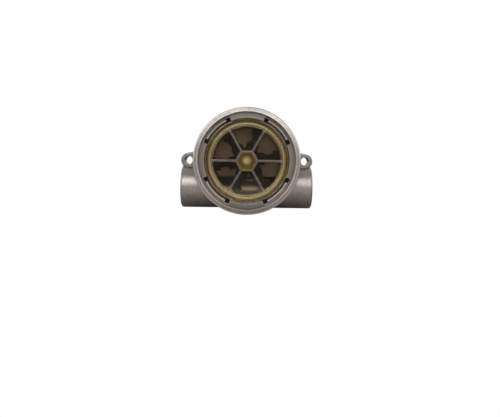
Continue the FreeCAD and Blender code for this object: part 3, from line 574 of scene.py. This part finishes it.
        # Painted shade beside the rim, over the ears, their webs and the tops of the ports.
        beside = graph.band(graph.height(), (bottom - edge, bottom + edge), (top + edge, top - edge))
        web_shade = graph.both(beside, graph.ease(graph.from_axis(), *self.web_shade_radius))
        grain = EFFECTS.place(graph, Effect.GRAIN, size=self.fleck_size, detail=self.fleck_detail)
        flecks = graph.both(grain.outputs["Fleck"], self.fleck_share)
        return graph.mix(web_shade, graph.mix(flecks, colour, self.fleck_colour), self.web_shade_colour)

    def inside(self, graph: Graph) -> NodeSocket:
        """The chamber, with a band of painted shade across its lower part and painted light at its bottom.

        Args:
            graph: The material's nodes.

        Returns:
            The colour by height.
        """
        height, (low, high), edge = graph.height(), self.pool_shade_height, self.mask_edge
        # A band of painted shade across the lower chamber, and painted light below it at the bottom.
        pool = graph.band(height, (low - edge, low), (high, high - 2 * edge))
        lit_bottom = graph.ease(height, low - edge, low - 2 * edge)
        darkened = graph.mix(pool, self.chamber_colour, self.pool_shade_colour)
        return graph.mix(lit_bottom, darkened, self.lit_bottom_colour)

    def pits(self, graph: Graph) -> NodeSocket:
        """Where the floor of the recess lies between a lug and a tab rest.

        Args:
            graph: The material's nodes.

        Returns:
            A mask that is 1 near the lugs and 0 along the tab rests.
        """
        split = graph.add_fed("SeparateXYZ", {0: graph.place()})
        across, up = (graph.math("POWER", graph.math("ABSOLUTE", split.outputs[way]), 2.0)
                      for way in "XZ")
        share = graph.math("DIVIDE", graph.math("SUBTRACT", across, up), graph.math("ADD", across, up))
        return graph.ease(graph.math("ABSOLUTE", share), *self.pit_share)

    def polish_and_light(self, graph: Graph, colour: NodeSocket) -> NodeSocket:
        """Metal rubbed bright by the tabs of the lens and by hands, with painted highlights there, painted
        light at the foot of the rim wall, which is clean of grime, and the turned seat painted near white as
        painted light.

        Args:
            graph: The material's nodes.
            colour: The metal with its wear, and grime with painted shade.

        Returns:
            The colour of all of it.
        """
        # Painted light at the foot of the rim wall and on the seat, and rubbed wear with painted highlights
        # on the tab rests and both rim edges.
        radius, level, edge = graph.from_axis(), graph.behind_ears(), self.rubbed_highlight_edge
        (inner, outer), (front, back) = self.rubbed_highlight_radius, self.rubbed_highlight_level
        ring = graph.band(radius, (inner, inner + edge), (outer, outer - edge))
        tops = graph.band(level, (front - edge, front), (back, back - self.rubbed_highlight_fade))
        wall = graph.band(radius, (self.foot_radius, self.foot_radius + self.foot_edge),
                          (self.recess_radius + self.mask_edge, self.recess_radius))
        lip = graph.both(graph.ease(level, self.lip_level + edge, self.lip_level),
                         graph.ease(radius, self.lip_radius + edge, self.lip_radius))
        brim = graph.both(graph.ease(radius, *self.brim_radius), graph.ease(level, *self.brim_level))
        for share, layer in ((graph.both(wall, graph.ease(level, *self.foot_level)), self.foot_light_colour),
                             (self.seat(graph), self.seat_glow_colour),
                             (graph.both(ring, tops), self.rubbed_highlight_colour),
                             (lip, self.lip_highlight_colour), (brim, self.brim_highlight_colour)):
            colour = graph.mix(share, colour, layer)
        return colour

    def seat(self, graph: Graph) -> NodeSocket:
        """A mask that is 1 on the bright, turned seat under the plug of the lens, which is painted near white
        as painted light.
        """
        (low, high), edge = self.seat_radius, self.seat_edge
        ring = graph.band(graph.from_axis(), (low - edge, low + edge), (high + edge, high - edge))
        return graph.both(ring, graph.ease(graph.behind_ears(), self.seat_level, self.seat_level + 2 * edge))

    def blunt(self, graph: Graph, roughness: NodeSocket) -> NodeSocket:
        """The roughness of the casting, and of its turned seat."""
        return graph.spread(self.seat(graph), roughness, self.seat_rough)


@dataclass(frozen=True)
class TurnedFinish(Finish):
    """A surface from the lathe, with rings about an axis."""

    centre: Place = (0.0, 0.0, 0.0)
    axis: Place = (0.0, 1.0, 0.0)
    pitch: float = 0.12 * MM
    ring_share: float = 0.8

    def relief(self, graph: Graph, height: NodeSocket) -> NodeSocket:
        """The grain with rings over it."""
        rings = EFFECTS.place(graph, Effect.RINGS, centre=self.centre, axis=self.axis, pitch=self.pitch)
        return graph.math("ADD", height, graph.math("MULTIPLY", rings.outputs["Height"], self.ring_share))


@dataclass(frozen=True)
class BushedFinish(Finish):
    """Moulded plastic with a bearing bush round the rotor axis and a pale sleeve in the bush."""

    bush_colour: Colour = (0.3, 0.245, 0.095)
    bush_radius: float = 4.6 * MM
    bush_edge: float = 0.1 * MM
    sleeve_colour: Colour = (0.85, 0.78, 0.52)
    sleeve_radius: float = 2.1 * MM
    sleeve_edge: float = 0.2 * MM

    def paint(self, graph: Graph, colour: NodeSocket) -> NodeSocket:
        """Plastic with its bush and sleeve."""
        radius = graph.from_axis()
        bush = graph.ease(radius, self.bush_radius + self.bush_edge, self.bush_radius)
        sleeve = graph.ease(radius, self.sleeve_radius + self.sleeve_edge, self.sleeve_radius)
        return graph.mix(sleeve, graph.mix(bush, colour, self.bush_colour), self.sleeve_colour)


@dataclass(frozen=True)
class BoardFinish(Finish):
    """A circuit board: solder mask over copper tracks that show as paler lines."""

    track_colour: Colour = (0.06, 0.24, 0.07)
    track_pitch: float = 1.27 * MM
    track_share: float = 0.32
    track_edge: float = 0.03
    track_rise: float = 2.0
    bend_scale: float = 160.0
    bend_step: float = 0.25
    bend_lanes: float = 6.0

    def tracks(self, graph: Graph) -> NodeSocket:
        """Where copper lies under the mask.

        Args:
            graph: The material's nodes.

        Returns:
            A mask that is 1 on a track.
        """
        split = graph.add_fed("SeparateXYZ", {0: graph.place()})
        bends = graph.math("SNAP", graph.noise(self.bend_scale, 0.0), self.bend_step)
        shift = graph.math("MULTIPLY", bends, self.bend_lanes * self.track_pitch)
        across = graph.math("ADD", split.outputs["X"], shift)
        lane = graph.math("PINGPONG", graph.math("DIVIDE", across, self.track_pitch), 0.5)
        half = self.track_share / 2
        return graph.ease(lane, half + self.track_edge, half - self.track_edge)

    def paint(self, graph: Graph, colour: NodeSocket) -> NodeSocket:
        """Solder mask with its tracks."""
        return graph.mix(self.tracks(graph), colour, self.track_colour)

    def relief(self, graph: Graph, height: NodeSocket) -> NodeSocket:
        """Grain that stands higher over the tracks."""
        return graph.math("ADD", height, graph.math("MULTIPLY", self.tracks(graph), self.track_rise))


@dataclass(frozen=True)
class LensFinish:
    """Clear amber plastic that deepens with its thickness, with faint flow waves and smears.

    Its ribs and bead are scuffed, and it is dented from the bead outwards, most of all towards its bottom.
    """

    name: str = "clear_amber_plastic"
    slot: str = "amber_lens"
    colour: Colour = (1.0, 0.98, 0.93)
    depth_colour: Colour = (0.92, 0.77, 0.26)
    density: float = 170.0
    ior: float = 1.5
    rough: Span = (0.01, 0.05)
    smear_size: float = 5 * MM
    wave_size: float = 4 * MM
    wave_depth: float = 0.005 * MM
    wave_detail: float = 1.0
    crest_level: Span = (1.2 * MM, 2.2 * MM)
    bead_radius: Span = (16.8 * MM, 18 * MM)
    edge: float = 0.2 * MM
    rib_rough: float = 0.4
    rib_scuffs: float = 0.36
    bead_rough: float = 0.42
    bead_scuffs: float = 0.75
    scuff_rough: float = 0.3
    scuff_ior: float = 4.0
    scuff_size: float = 0.8 * MM
    scuff_range: Span = (0.7, 1.0)
    dent_size: float = 1.5 * MM
    dent_depth: Span = (0.03 * MM, 0.12 * MM)
    dent_height: Span = (-4 * MM, -11 * MM)

    def crests(self, graph: Graph) -> tuple[NodeSocket, NodeSocket]:
        """Where the plastic stands out of the window and is scuffed.

        Args:
            graph: The material's nodes.

        Returns:
            A mask for the ribs and the hexagon collar, and one for the bead round them.
        """
        radius = graph.from_axis()
        level = graph.ease(graph.behind_ears(), *(-height for height in self.crest_level))
        inner, outer = self.bead_radius
        outside = graph.ease(radius, inner - self.edge, inner)
        bead = graph.both(outside, graph.ease(radius, outer + self.edge, outer))
        ribs = graph.math("SUBTRACT", 1.0, outside)
        return graph.both(ribs, level), graph.both(bead, level)

    def dents(self, graph: Graph) -> NodeSocket:
        """The height of the dents, as a multiple of the depth of the waves.

        Args:
            graph: The material's nodes.

        Returns:
            A height that is 0 inside the bead.
        """
        grain = EFFECTS.place(graph, Effect.GRAIN, size=self.dent_size, detail=self.wave_detail)
        inner = self.bead_radius[0]
        rim = graph.ease(graph.from_axis(), inner - self.edge, inner)
        shallow, deepest = (depth / self.wave_depth for depth in self.dent_depth)
        worn = graph.spread(graph.ease(graph.height(), *self.dent_height), shallow, deepest)
        return graph.both(graph.both(grain.outputs["Height"], rim), worn)

    def material(self) -> Material:
        """Build the material.

        Returns:
            Glass with a tint that comes from the depth of plastic in the way.
        """
        material, graph, shader = new_material(self.name)
        shader.inputs["Base Color"].default_value = rgba(self.colour)
        shader.inputs["Transmission Weight"].default_value = 1.0
        shader.inputs["IOR"].default_value = self.ior
        shader.inputs["Coat Roughness"].default_value = self.scuff_rough
        shader.inputs["Coat IOR"].default_value = self.scuff_ior
        ribs, bead = self.crests(graph)
        smear = EFFECTS.place(graph, Effect.MOTTLE, size=self.smear_size).outputs["Mask"]
        matt = graph.math("ADD", graph.both(ribs, self.rib_rough), graph.both(bead, self.bead_rough))
        graph.feed(shader.inputs["Roughness"], graph.math("ADD", graph.spread(smear, *self.rough), matt))
        scuffs = EFFECTS.place(graph, Effect.MOTTLE, size=self.scuff_size).outputs["Mask"]
        share = graph.math("ADD", graph.both(ribs, self.rib_scuffs), graph.both(bead, self.bead_scuffs))
        graph.feed(shader.inputs["Coat Weight"], graph.both(share, graph.spread(scuffs, *self.scuff_range)))
        wave = EFFECTS.place(graph, Effect.GRAIN, size=self.wave_size, detail=self.wave_detail)
        height = graph.math("ADD", wave.outputs["Height"], self.dents(graph))
        bump = graph.add_fed("Bump", {"Distance": self.wave_depth, "Height": height})
        graph.feed(shader.inputs["Normal"], bump.outputs["Normal"])
        tint = {"Color": rgba(self.depth_colour), "Density": self.density}
        depth = graph.add_fed("VolumeAbsorption", tint)
        graph.feed(graph.tree.nodes["Material Output"].inputs["Volume"], depth.outputs["Volume"])
        return material


def put(name: str, data: ID) -> Object:
    """Put new data into the scene, as an object of the same name."""
    item = bpy.data.objects.new(name, data)
    bpy.context.scene.collection.objects.link(item)
    return item


def dress(names: Sequence[str], finish: Finish | LensFinish) -> None:
    """Give CAD nodes a finish.

    Args:
        names: The nodes.
        finish: What they are made of.
    """
    material = finish.material()
    for name in names:
        materials = frame["nodes"][name].data.materials
        materials.clear()
        materials.append(material)
        LOG.info("%s: %s", name, finish.name)


def add_piece(name: str, body: Body, finish: Finish, fill: Callable[[bmesh.types.BMesh], None]) -> None:
    """Make a smooth piece from mesh code.

    Args:
        name: The piece's name.
        body: The body that it rides on.
        finish: What it is made of.
        fill: Builds its faces, in metres in the shared frame.
    """
    mesh = bpy.data.meshes.new(name)
    work = bmesh.new()
    fill(work)
    bmesh.ops.recalc_face_normals(work, faces=work.faces)
    work.to_mesh(mesh)
    work.free()
    for face in mesh.polygons:
        face.use_smooth = True
    mesh.materials.append(finish.material())
    piece = put(name, mesh)
    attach(piece, body.value)
    LOG.info("%s: %d faces on %s", name, len(mesh.polygons), body.value)


def skin(work: bmesh.types.BMesh, sections: Sequence[Sequence[Vector]]) -> None:
    """Join sections of equal length with faces, and cap both ends.

    Args:
        work: The mesh to add to.
        sections: Loops of points, one after another.
    """
    loops = [[work.verts.new(point) for point in section] for section in sections]
    for first, second in zip(loops, loops[1:]):
        for index in range(len(first)):
            after = (index + 1) % len(first)
            work.faces.new((first[index], first[after], second[after], second[index]))
    for end in (loops[0], loops[-1]):
        work.faces.new(end)


# On the casting the corner grime is also painted shade, darkest in the grooves of the recess.
CAST_STEEL = CastFinish(
    "blasted_cast_steel", "cast_steel", (0.41, 0.364, 0.343), (0.35, 0.31, 0.292), (0.36, 0.48), metallic=1.0,
    mottle_size=7 * MM, grain_size=0.28 * MM, grain_depth=0.014 * MM, wear_colour=(0.6, 0.545, 0.51),
    grime_and_shade_colour=(0.06, 0.05, 0.044), grime_and_shade_reach=1.4 * MM, grime_and_shade_share=0.85)
THREAD_STEEL = TurnedFinish(
    "cut_thread_steel", "cast_steel", (0.5, 0.47, 0.45), (0.42, 0.39, 0.37), (0.24, 0.38), metallic=1.0,
    grain_depth=0.004 * MM, grime_and_shade_colour=(0.12, 0.1, 0.09), grime_and_shade_reach=1 * MM, axis=(1.0, 0.0, 0.0))
BLACK_PLASTIC = BushedFinish(
    "moulded_black_plastic", "black_plastic", (0.016, 0.01, 0.01), (0.01, 0.006, 0.006), (0.4, 0.54),
    specular=0.22, grain_size=0.18 * MM, wear_colour=(0.03, 0.022, 0.02), wear_reach=0.2 * MM,
    grime_and_shade_colour=(0.02, 0.014, 0.012))
CERAMIC = TurnedFinish(
    "ground_ceramic", "white_ceramic", (0.97, 0.95, 0.88), (0.93, 0.9, 0.82), (0.18, 0.3), mottle_size=2 * MM,
    grain_size=0.1 * MM, grain_depth=0.002 * MM, pitch=0.08 * MM)
FERRITE = Finish(
    "sintered_ferrite", "ferrite", (0.07, 0.07, 0.078), (0.045, 0.045, 0.05), (0.5, 0.7),
    mottle_size=1.2 * MM, grain_size=0.09 * MM, grain_depth=0.006 * MM, wear_colour=(0.16, 0.16, 0.17),
    wear_reach=0.2 * MM)
WHITE_PLASTIC = TurnedFinish(
    "turned_white_plastic", "white_plastic", (0.8, 0.79, 0.75), (0.73, 0.72, 0.67), (0.34, 0.46),
    mottle_size=3 * MM, grain_depth=0.005 * MM, axis=(1.0, 0.0, 0.0), grime_and_shade_colour=(0.42, 0.37, 0.28),
    grime_and_shade_reach=1 * MM)
OLIVE_RUBBER = Finish(
    "moulded_olive_rubber", "seal_rubber", (0.54, 0.44, 0.12), (0.46, 0.37, 0.1), (0.5, 0.66),
    mottle_size=2 * MM, grain_size=0.12 * MM, grain_depth=0.01 * MM, specular=0.35)
SEAL_RUBBER = Finish(
    "moulded_seal_rubber", "seal_rubber", (0.018, 0.018, 0.018), (0.028, 0.028, 0.027), (0.62, 0.8),
    mottle_size=2.5 * MM, grain_size=0.12 * MM, grain_depth=0.01 * MM, specular=0.35)
GREEN_BOARD = BoardFinish(
    "masked_circuit_board", "green_board", (0.02, 0.13, 0.045), (0.016, 0.105, 0.036), (0.3, 0.42),
    mottle_size=3 * MM, grain_size=0.3 * MM, grain_depth=0.012 * MM, wear_colour=(0.32, 0.3, 0.16))
CHIP_BLACK = Finish(
    "epoxy_chip_case", "chip_black", (0.016, 0.016, 0.018), (0.022, 0.022, 0.024), (0.5, 0.66),
    mottle_size=1.5 * MM, grain_size=0.08 * MM, grain_depth=0.006 * MM, wear_colour=(0.05, 0.05, 0.052),
    wear_reach=0.15 * MM)
CAPACITOR_TAN = Finish(
    "fired_capacitor", "capacitor_tan", (0.42, 0.29, 0.16), (0.36, 0.24, 0.13), (0.4, 0.55),
    mottle_size=0.8 * MM, grain_size=0.06 * MM, grain_depth=0.004 * MM, wear_colour=(0.62, 0.6, 0.57),
    wear_reach=0.45 * MM)
HEADER_PLASTIC = Finish(
    "moulded_header_plastic", "header_plastic", (0.03, 0.03, 0.031), (0.022, 0.022, 0.023), (0.42, 0.56),
    grain_size=0.15 * MM, wear_colour=(0.07, 0.07, 0.072), wear_reach=0.3 * MM)
CONTACT_GOLD = Finish(
    "plated_contact_gold", "contact_gold", (0.83, 0.6, 0.22), (0.74, 0.5, 0.16), (0.16, 0.3), metallic=1.0,
    mottle_size=0.8 * MM, grain_size=0.07 * MM, grain_depth=0.002 * MM)
COVER_PLASTIC = Finish(
    "grained_cover_plastic", "cover_plastic", (0.036, 0.036, 0.038), (0.028, 0.028, 0.029), (0.44, 0.6),
    mottle_size=8 * MM, grain_size=0.4 * MM, grain_depth=0.03 * MM, wear_colour=(0.085, 0.085, 0.088),
    grime_and_shade_colour=(0.075, 0.07, 0.062), grime_and_shade_reach=1.5 * MM)
SCREW_STEEL = TurnedFinish(
    "turned_screw_steel", "screw_steel", (0.62, 0.61, 0.6), (0.52, 0.51, 0.5), (0.22, 0.36), metallic=1.0,
    mottle_size=1.5 * MM, grain_size=0.1 * MM, grain_depth=0.003 * MM, wear_colour=(0.78, 0.77, 0.76),
    wear_reach=0.2 * MM, grime_and_shade_colour=(0.09, 0.085, 0.08), grime_and_shade_reach=0.6 * MM)
SOLDER = Finish(
    "soft_solder", "screw_steel", (0.66, 0.66, 0.66), (0.56, 0.56, 0.57), (0.2, 0.34), metallic=1.0,
    mottle_size=0.6 * MM, grain_size=0.12 * MM, grain_depth=0.004 * MM)


@dataclass
class Casting:
    """The cast body and the taper pipe threads cut in its ports."""

    crest_height: float = 0.75 * MM
    pitch: float = 25.4 * MM / 18
    crest_width: float = 0.2 * MM
    root_width: float = 1.15 * MM
    taper: float = 1 / 32
    end_margin: float = 0.5 * MM
    sink: float = 0.03 * MM
    fade_turns: float = 0.5
    segments: int = 56
    ports: tuple[str, ...] = ("inlet_port", "outlet_port")

    def dress(self) -> None:
        """Finish the casting."""
        dress(["flow_body"], CAST_STEEL)

    def build(self) -> None:
        """Cut a thread in each port."""
        mounts = {mount["name"]: mount for mount in frame["record"]["mounts"]}
        for port in self.ports:
            add_piece(f"{port}_thread", Body.CASTING, THREAD_STEEL,
                      lambda work: self.cut_thread(work, mounts[port]))

    def cut_thread(self, work: bmesh.types.BMesh, mount: dict) -> None:
        """Wind one ridge along the wall of a port.

        Args:
            work: The mesh to add to.
            mount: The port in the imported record.
        """
        outward = Vector(mount["axis"])
        middle = Vector(mount["pos_m"])
        root = mount["dims"]["r_mm"] * MM
        run = mount["dims"]["length_mm"] * MM - 2 * self.end_margin - self.root_width
        turns = run / self.pitch
        steps = round(turns * self.segments)
        up, side = Vector((0, 0, 1)), outward.cross(Vector((0, 0, 1)))
        sections = []
        for step in range(steps + 1):
            share = step / steps
            along = (share - 0.5) * run
            angle = math.tau * turns * share
            ray = math.cos(angle) * up + math.sin(angle) * side
            fade = min(1.0, min(share, 1 - share) * turns / self.fade_turns)
            height = (self.crest_height - (along + run / 2) * self.taper) * fade
            wall, crest = root + self.sink, root - height
            sections.append([middle + outward * (along + shift) + ray * radius for shift, radius in (
                (-self.root_width / 2, wall), (-self.crest_width / 2, crest),
                (self.crest_width / 2, crest), (self.root_width / 2, wall))])
        skin(work, sections)


@dataclass
class SightLens:
    """The twist-off sight lens and the ring that seals it."""

    finish: LensFinish = field(default_factory=LensFinish)

    def dress(self) -> None:
        """Finish the lens and its seal."""
        dress(["front_lens"], self.finish)
        dress(["lens_seal"], OLIVE_RUBBER)


@dataclass
class PaddleWheel:
    """The rotor with its magnets, the shaft that it turns on and the sleeve that aims the flow at it."""

    magnets: int = 6

    def dress(self) -> None:
        """Finish everything in the wet chamber."""
        dress(["rotor"], BLACK_PLASTIC)
        dress([f"rotor_magnet_{index + 1}" for index in range(self.magnets)], FERRITE)
        dress(["rotor_shaft"], CERAMIC)
        dress(["range_insert"], WHITE_PLASTIC)


@dataclass
class SignalBoard:
    """The circuit board with its parts, and the solder that joins them to it."""

    lead_pitch: float = 1.27 * MM
    joint_radius: float = 0.62 * MM
    joint_height: float = 0.55 * MM
    joint_tip: float = 0.26 * MM
    joint_levels: int = 4
    joint_sides: int = 20
    contacts: int = 3

    def dress(self) -> None:
        """Finish the board and its parts."""
        dress(["circuit_board"], GREEN_BOARD)
        dress(["hall_sensor", "output_chip"], CHIP_BLACK)
        dress(["chip_capacitors"], CAPACITOR_TAN)
        dress(["board_screws"], SCREW_STEEL)

    def build(self) -> None:
        """Solder the leads of the pick-up and the contacts."""
        add_piece("solder_joints", Body.CASTING, SOLDER, self.solder)

    def solder(self, work: bmesh.types.BMesh) -> None:
        """Raise a joint round every lead and contact where it comes through the board.

        Args:
            work: The mesh to add to.
        """
        board_low, board_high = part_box("circuit_board")
        lead_low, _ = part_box("hall_sensor")
        for step in (-1, 0, 1):
            place = Vector((step * self.lead_pitch, board_high.y, lead_low.z))
            self.raise_joint(work, place, 1.0)
        for index in range(self.contacts):
            low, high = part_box(f"contact_pin_{index + 1}")
            middle = (low + high) / 2
            self.raise_joint(work, Vector((middle.x, board_low.y, middle.z)), -1.0)

    def raise_joint(self, work: bmesh.types.BMesh, place: Vector, way: float) -> None:
        """Raise one hollow-sided cone of solder.

        Args:
            work: The mesh to add to.
            place: The middle of its foot.
            way: 1 to rise towards the back of the sensor, -1 towards its front.
        """
        rings = []
        for level in range(self.joint_levels + 1):
            share = level / self.joint_levels
            radius = self.joint_tip + (self.joint_radius - self.joint_tip) * (1 - share) ** 2
            rise = Vector((0, way * self.joint_height * share, 0))
            angles = [math.tau * side / self.joint_sides for side in range(self.joint_sides)]
            rays = [Vector((math.cos(angle), 0, math.sin(angle))) for angle in angles]
            rings.append([place + rise + radius * ray for ray in rays])
        skin(work, rings)


@dataclass
class RearClosure:
    """The rear cover with its gasket and screws, and the connector that comes through it."""

    contacts: int = 3

    def dress(self) -> None:
        """Finish the back of the sensor."""
        dress(["rear_cover"], COVER_PLASTIC)
        dress(["rear_gasket", "connector_seal"], SEAL_RUBBER)
        dress(["cover_screws"], SCREW_STEEL)
        dress(["connector_header"], HEADER_PLASTIC)
        dress([f"contact_pin_{index + 1}" for index in range(self.contacts)], CONTACT_GOLD)


@dataclass(frozen=True)
class Lamp:
    """A soft rectangular light that faces the middle of the sensor."""

    name: str
    place: Place
    size: Span
    power: float


@dataclass
class Studio:
    """A pale floor, soft light from above and in front, and the camera on the rotor axis."""

    image_width: int = 500
    focal_pixels: float = 584.5
    sensor: float = 36.0
    distance: float = 0.2796
    near: float = 0.01
    shift: Span = (0.0065, -0.0954)
    roll: float = math.radians(0.75)
    floor_level: float = -25.6 * MM
    floor_size: float = 8.0
    floor_colour: Colour = (0.77, 0.76, 0.74)
    floor_shade: Colour = (0.1, 0.1, 0.1)
    floor_rough: float = 0.9
    light_spot_centre: Place = (0.0, -0.12, 0.0)
    light_spot_reach: Span = (0.09, 0.15)
    lamps: tuple[Lamp, ...] = (Lamp("key", (0.0, -0.52, 0.3), (0.75, 0.4), 1.7),
                               Lamp("back", (0.0, 0.45, 0.4), (0.6, 0.3), 0.4))
    lamp_colour: Colour = (0.95, 0.985, 1.0)
    sky_colour: Colour = (1.0, 0.96, 0.93)
    seen_colour: Colour = (1.0, 1.0, 1.0)
    low_light: float = 0.14
    level_light: float = 0.56
    high_light: float = 0.3
    side_light: float = 0.85
    back_light: float = 1.0
    camera_shade: float = 0.8
    low_band: Span = (-0.9, -0.25)
    high_band: Span = (0.35, 0.8)
    side_band: Span = (0.3, 0.8)
    back_band: Span = (0.3, 0.8)
    camera_band: Span = (-0.91, -0.985)

    def build(self) -> None:
        """Set up floor, light and camera."""
        self.lay_floor()
        self.light_sky()
        for lamp in self.lamps:
            self.hang_light(lamp)
        self.stand_camera()
        bpy.context.scene.view_settings.view_transform = "Standard"

    def lay_floor(self) -> None:
        """Lay a floor that is white to the eye; to the sensor it is pale in a painted pool of light in front
        of it, with painted shade further out and beneath the sensor.
        """
        mesh = bpy.data.meshes.new("floor")
        half = self.floor_size / 2
        corners = [(x * half, y * half, self.floor_level) for x, y in ((-1, -1), (1, -1), (1, 1), (-1, 1))]
        mesh.from_pydata(corners, [], [(0, 1, 2, 3)])
        material, graph, shader = new_material("pale_floor")
        # Painted pool of light on the floor in front of the sensor, with painted shade further out and
        # beneath the sensor.
        beyond_light_spot = graph.ease(graph.reach((1.0, 1.0, 0.0), self.light_spot_centre), *self.light_spot_reach)
        graph.feed(shader.inputs["Base Color"], graph.mix(beyond_light_spot, self.floor_colour, self.floor_shade))
        shader.inputs["Roughness"].default_value = self.floor_rough
        seen = graph.add("LightPath").outputs["Is Camera Ray"]
        white = graph.add("Emission").outputs["Emission"]
        blend = graph.add_fed("MixShader", {0: seen, 1: shader.outputs["BSDF"], 2: white})
        graph.feed(graph.tree.nodes["Material Output"].inputs["Surface"], blend.outputs["Shader"])
        mesh.materials.append(material)
        floor = put("floor", mesh)

    def light_sky(self) -> None:
        """Surround the scene with soft light, dim below, above and in front, bright beside and behind."""
        world = bpy.data.worlds.new("studio")
        world.use_nodes = True
        bpy.context.scene.world = world
        graph = Graph(world.node_tree)
        split = graph.add_fed("SeparateXYZ", {0: graph.add("TexCoord").outputs["Generated"]})
        across, along, up = split.outputs
        above_floor = graph.ease(up, *self.low_band)
        soft = graph.math("ADD", graph.spread(above_floor, self.low_light, self.level_light),
                          graph.spread(graph.ease(up, *self.high_band), 0.0,
                                       self.high_light - self.level_light))
        shade = graph.spread(graph.ease(along, *self.camera_band), 1.0, 1.0 - self.camera_shade)
        beside = graph.ease(graph.math("ABSOLUTE", across), *self.side_band)
        side = graph.both(graph.both(beside, above_floor), self.side_light)
        back = graph.both(graph.ease(along, *self.back_band), self.back_light)
        light = graph.math("MAXIMUM", graph.both(soft, shade), graph.math("MAXIMUM", side, back))
        seen = graph.add("LightPath").outputs["Is Camera Ray"]
        background = graph.tree.nodes["Background"]
        graph.feed(background.inputs["Color"], graph.mix(seen, self.sky_colour, self.seen_colour))
        graph.feed(background.inputs["Strength"], graph.math("MAXIMUM", light, seen))

    def hang_light(self, lamp: Lamp) -> None:
        """Hang a soft light.

        Args:
            lamp: Its name, place, size and power in watts.
        """
        light = bpy.data.lights.new(lamp.name, "AREA")
        light.shape = "RECTANGLE"
        light.size, light.size_y = lamp.size
        light.energy = lamp.power
        light.color = self.lamp_colour
        holder = put(lamp.name, light)
        holder.location = lamp.place
        holder.rotation_mode = "QUATERNION"
        holder.rotation_quaternion = (-Vector(lamp.place)).to_track_quat("-Z", "Y")

    def stand_camera(self) -> None:
        """Stand the camera on the rotor axis, in front of the lens."""
        camera = bpy.data.cameras.new("camera")
        camera.sensor_width = self.sensor
        camera.lens = self.focal_pixels / self.image_width * self.sensor
        camera.shift_x, camera.shift_y = self.shift
        camera.clip_start = self.near
        stand = put("camera", camera)
        turned = Matrix.Rotation(math.radians(90), 4, "X") @ Matrix.Rotation(self.roll, 4, "Z")
        stand.matrix_world = Matrix.Translation((0.0, -self.distance, 0.0)) @ turned
        bpy.context.scene.camera = stand


def main() -> None:
    """Build and dress every sub-assembly, then the studio."""
    logging.basicConfig(level=logging.INFO, format="%(name)s: %(message)s")
    casting, board = Casting(), SignalBoard()
    for assembly in (casting, SightLens(), PaddleWheel(), board, RearClosure()):
        assembly.dress()
    casting.build()
    board.build()
    Studio().build()


if __name__ == "__main__":
    main()
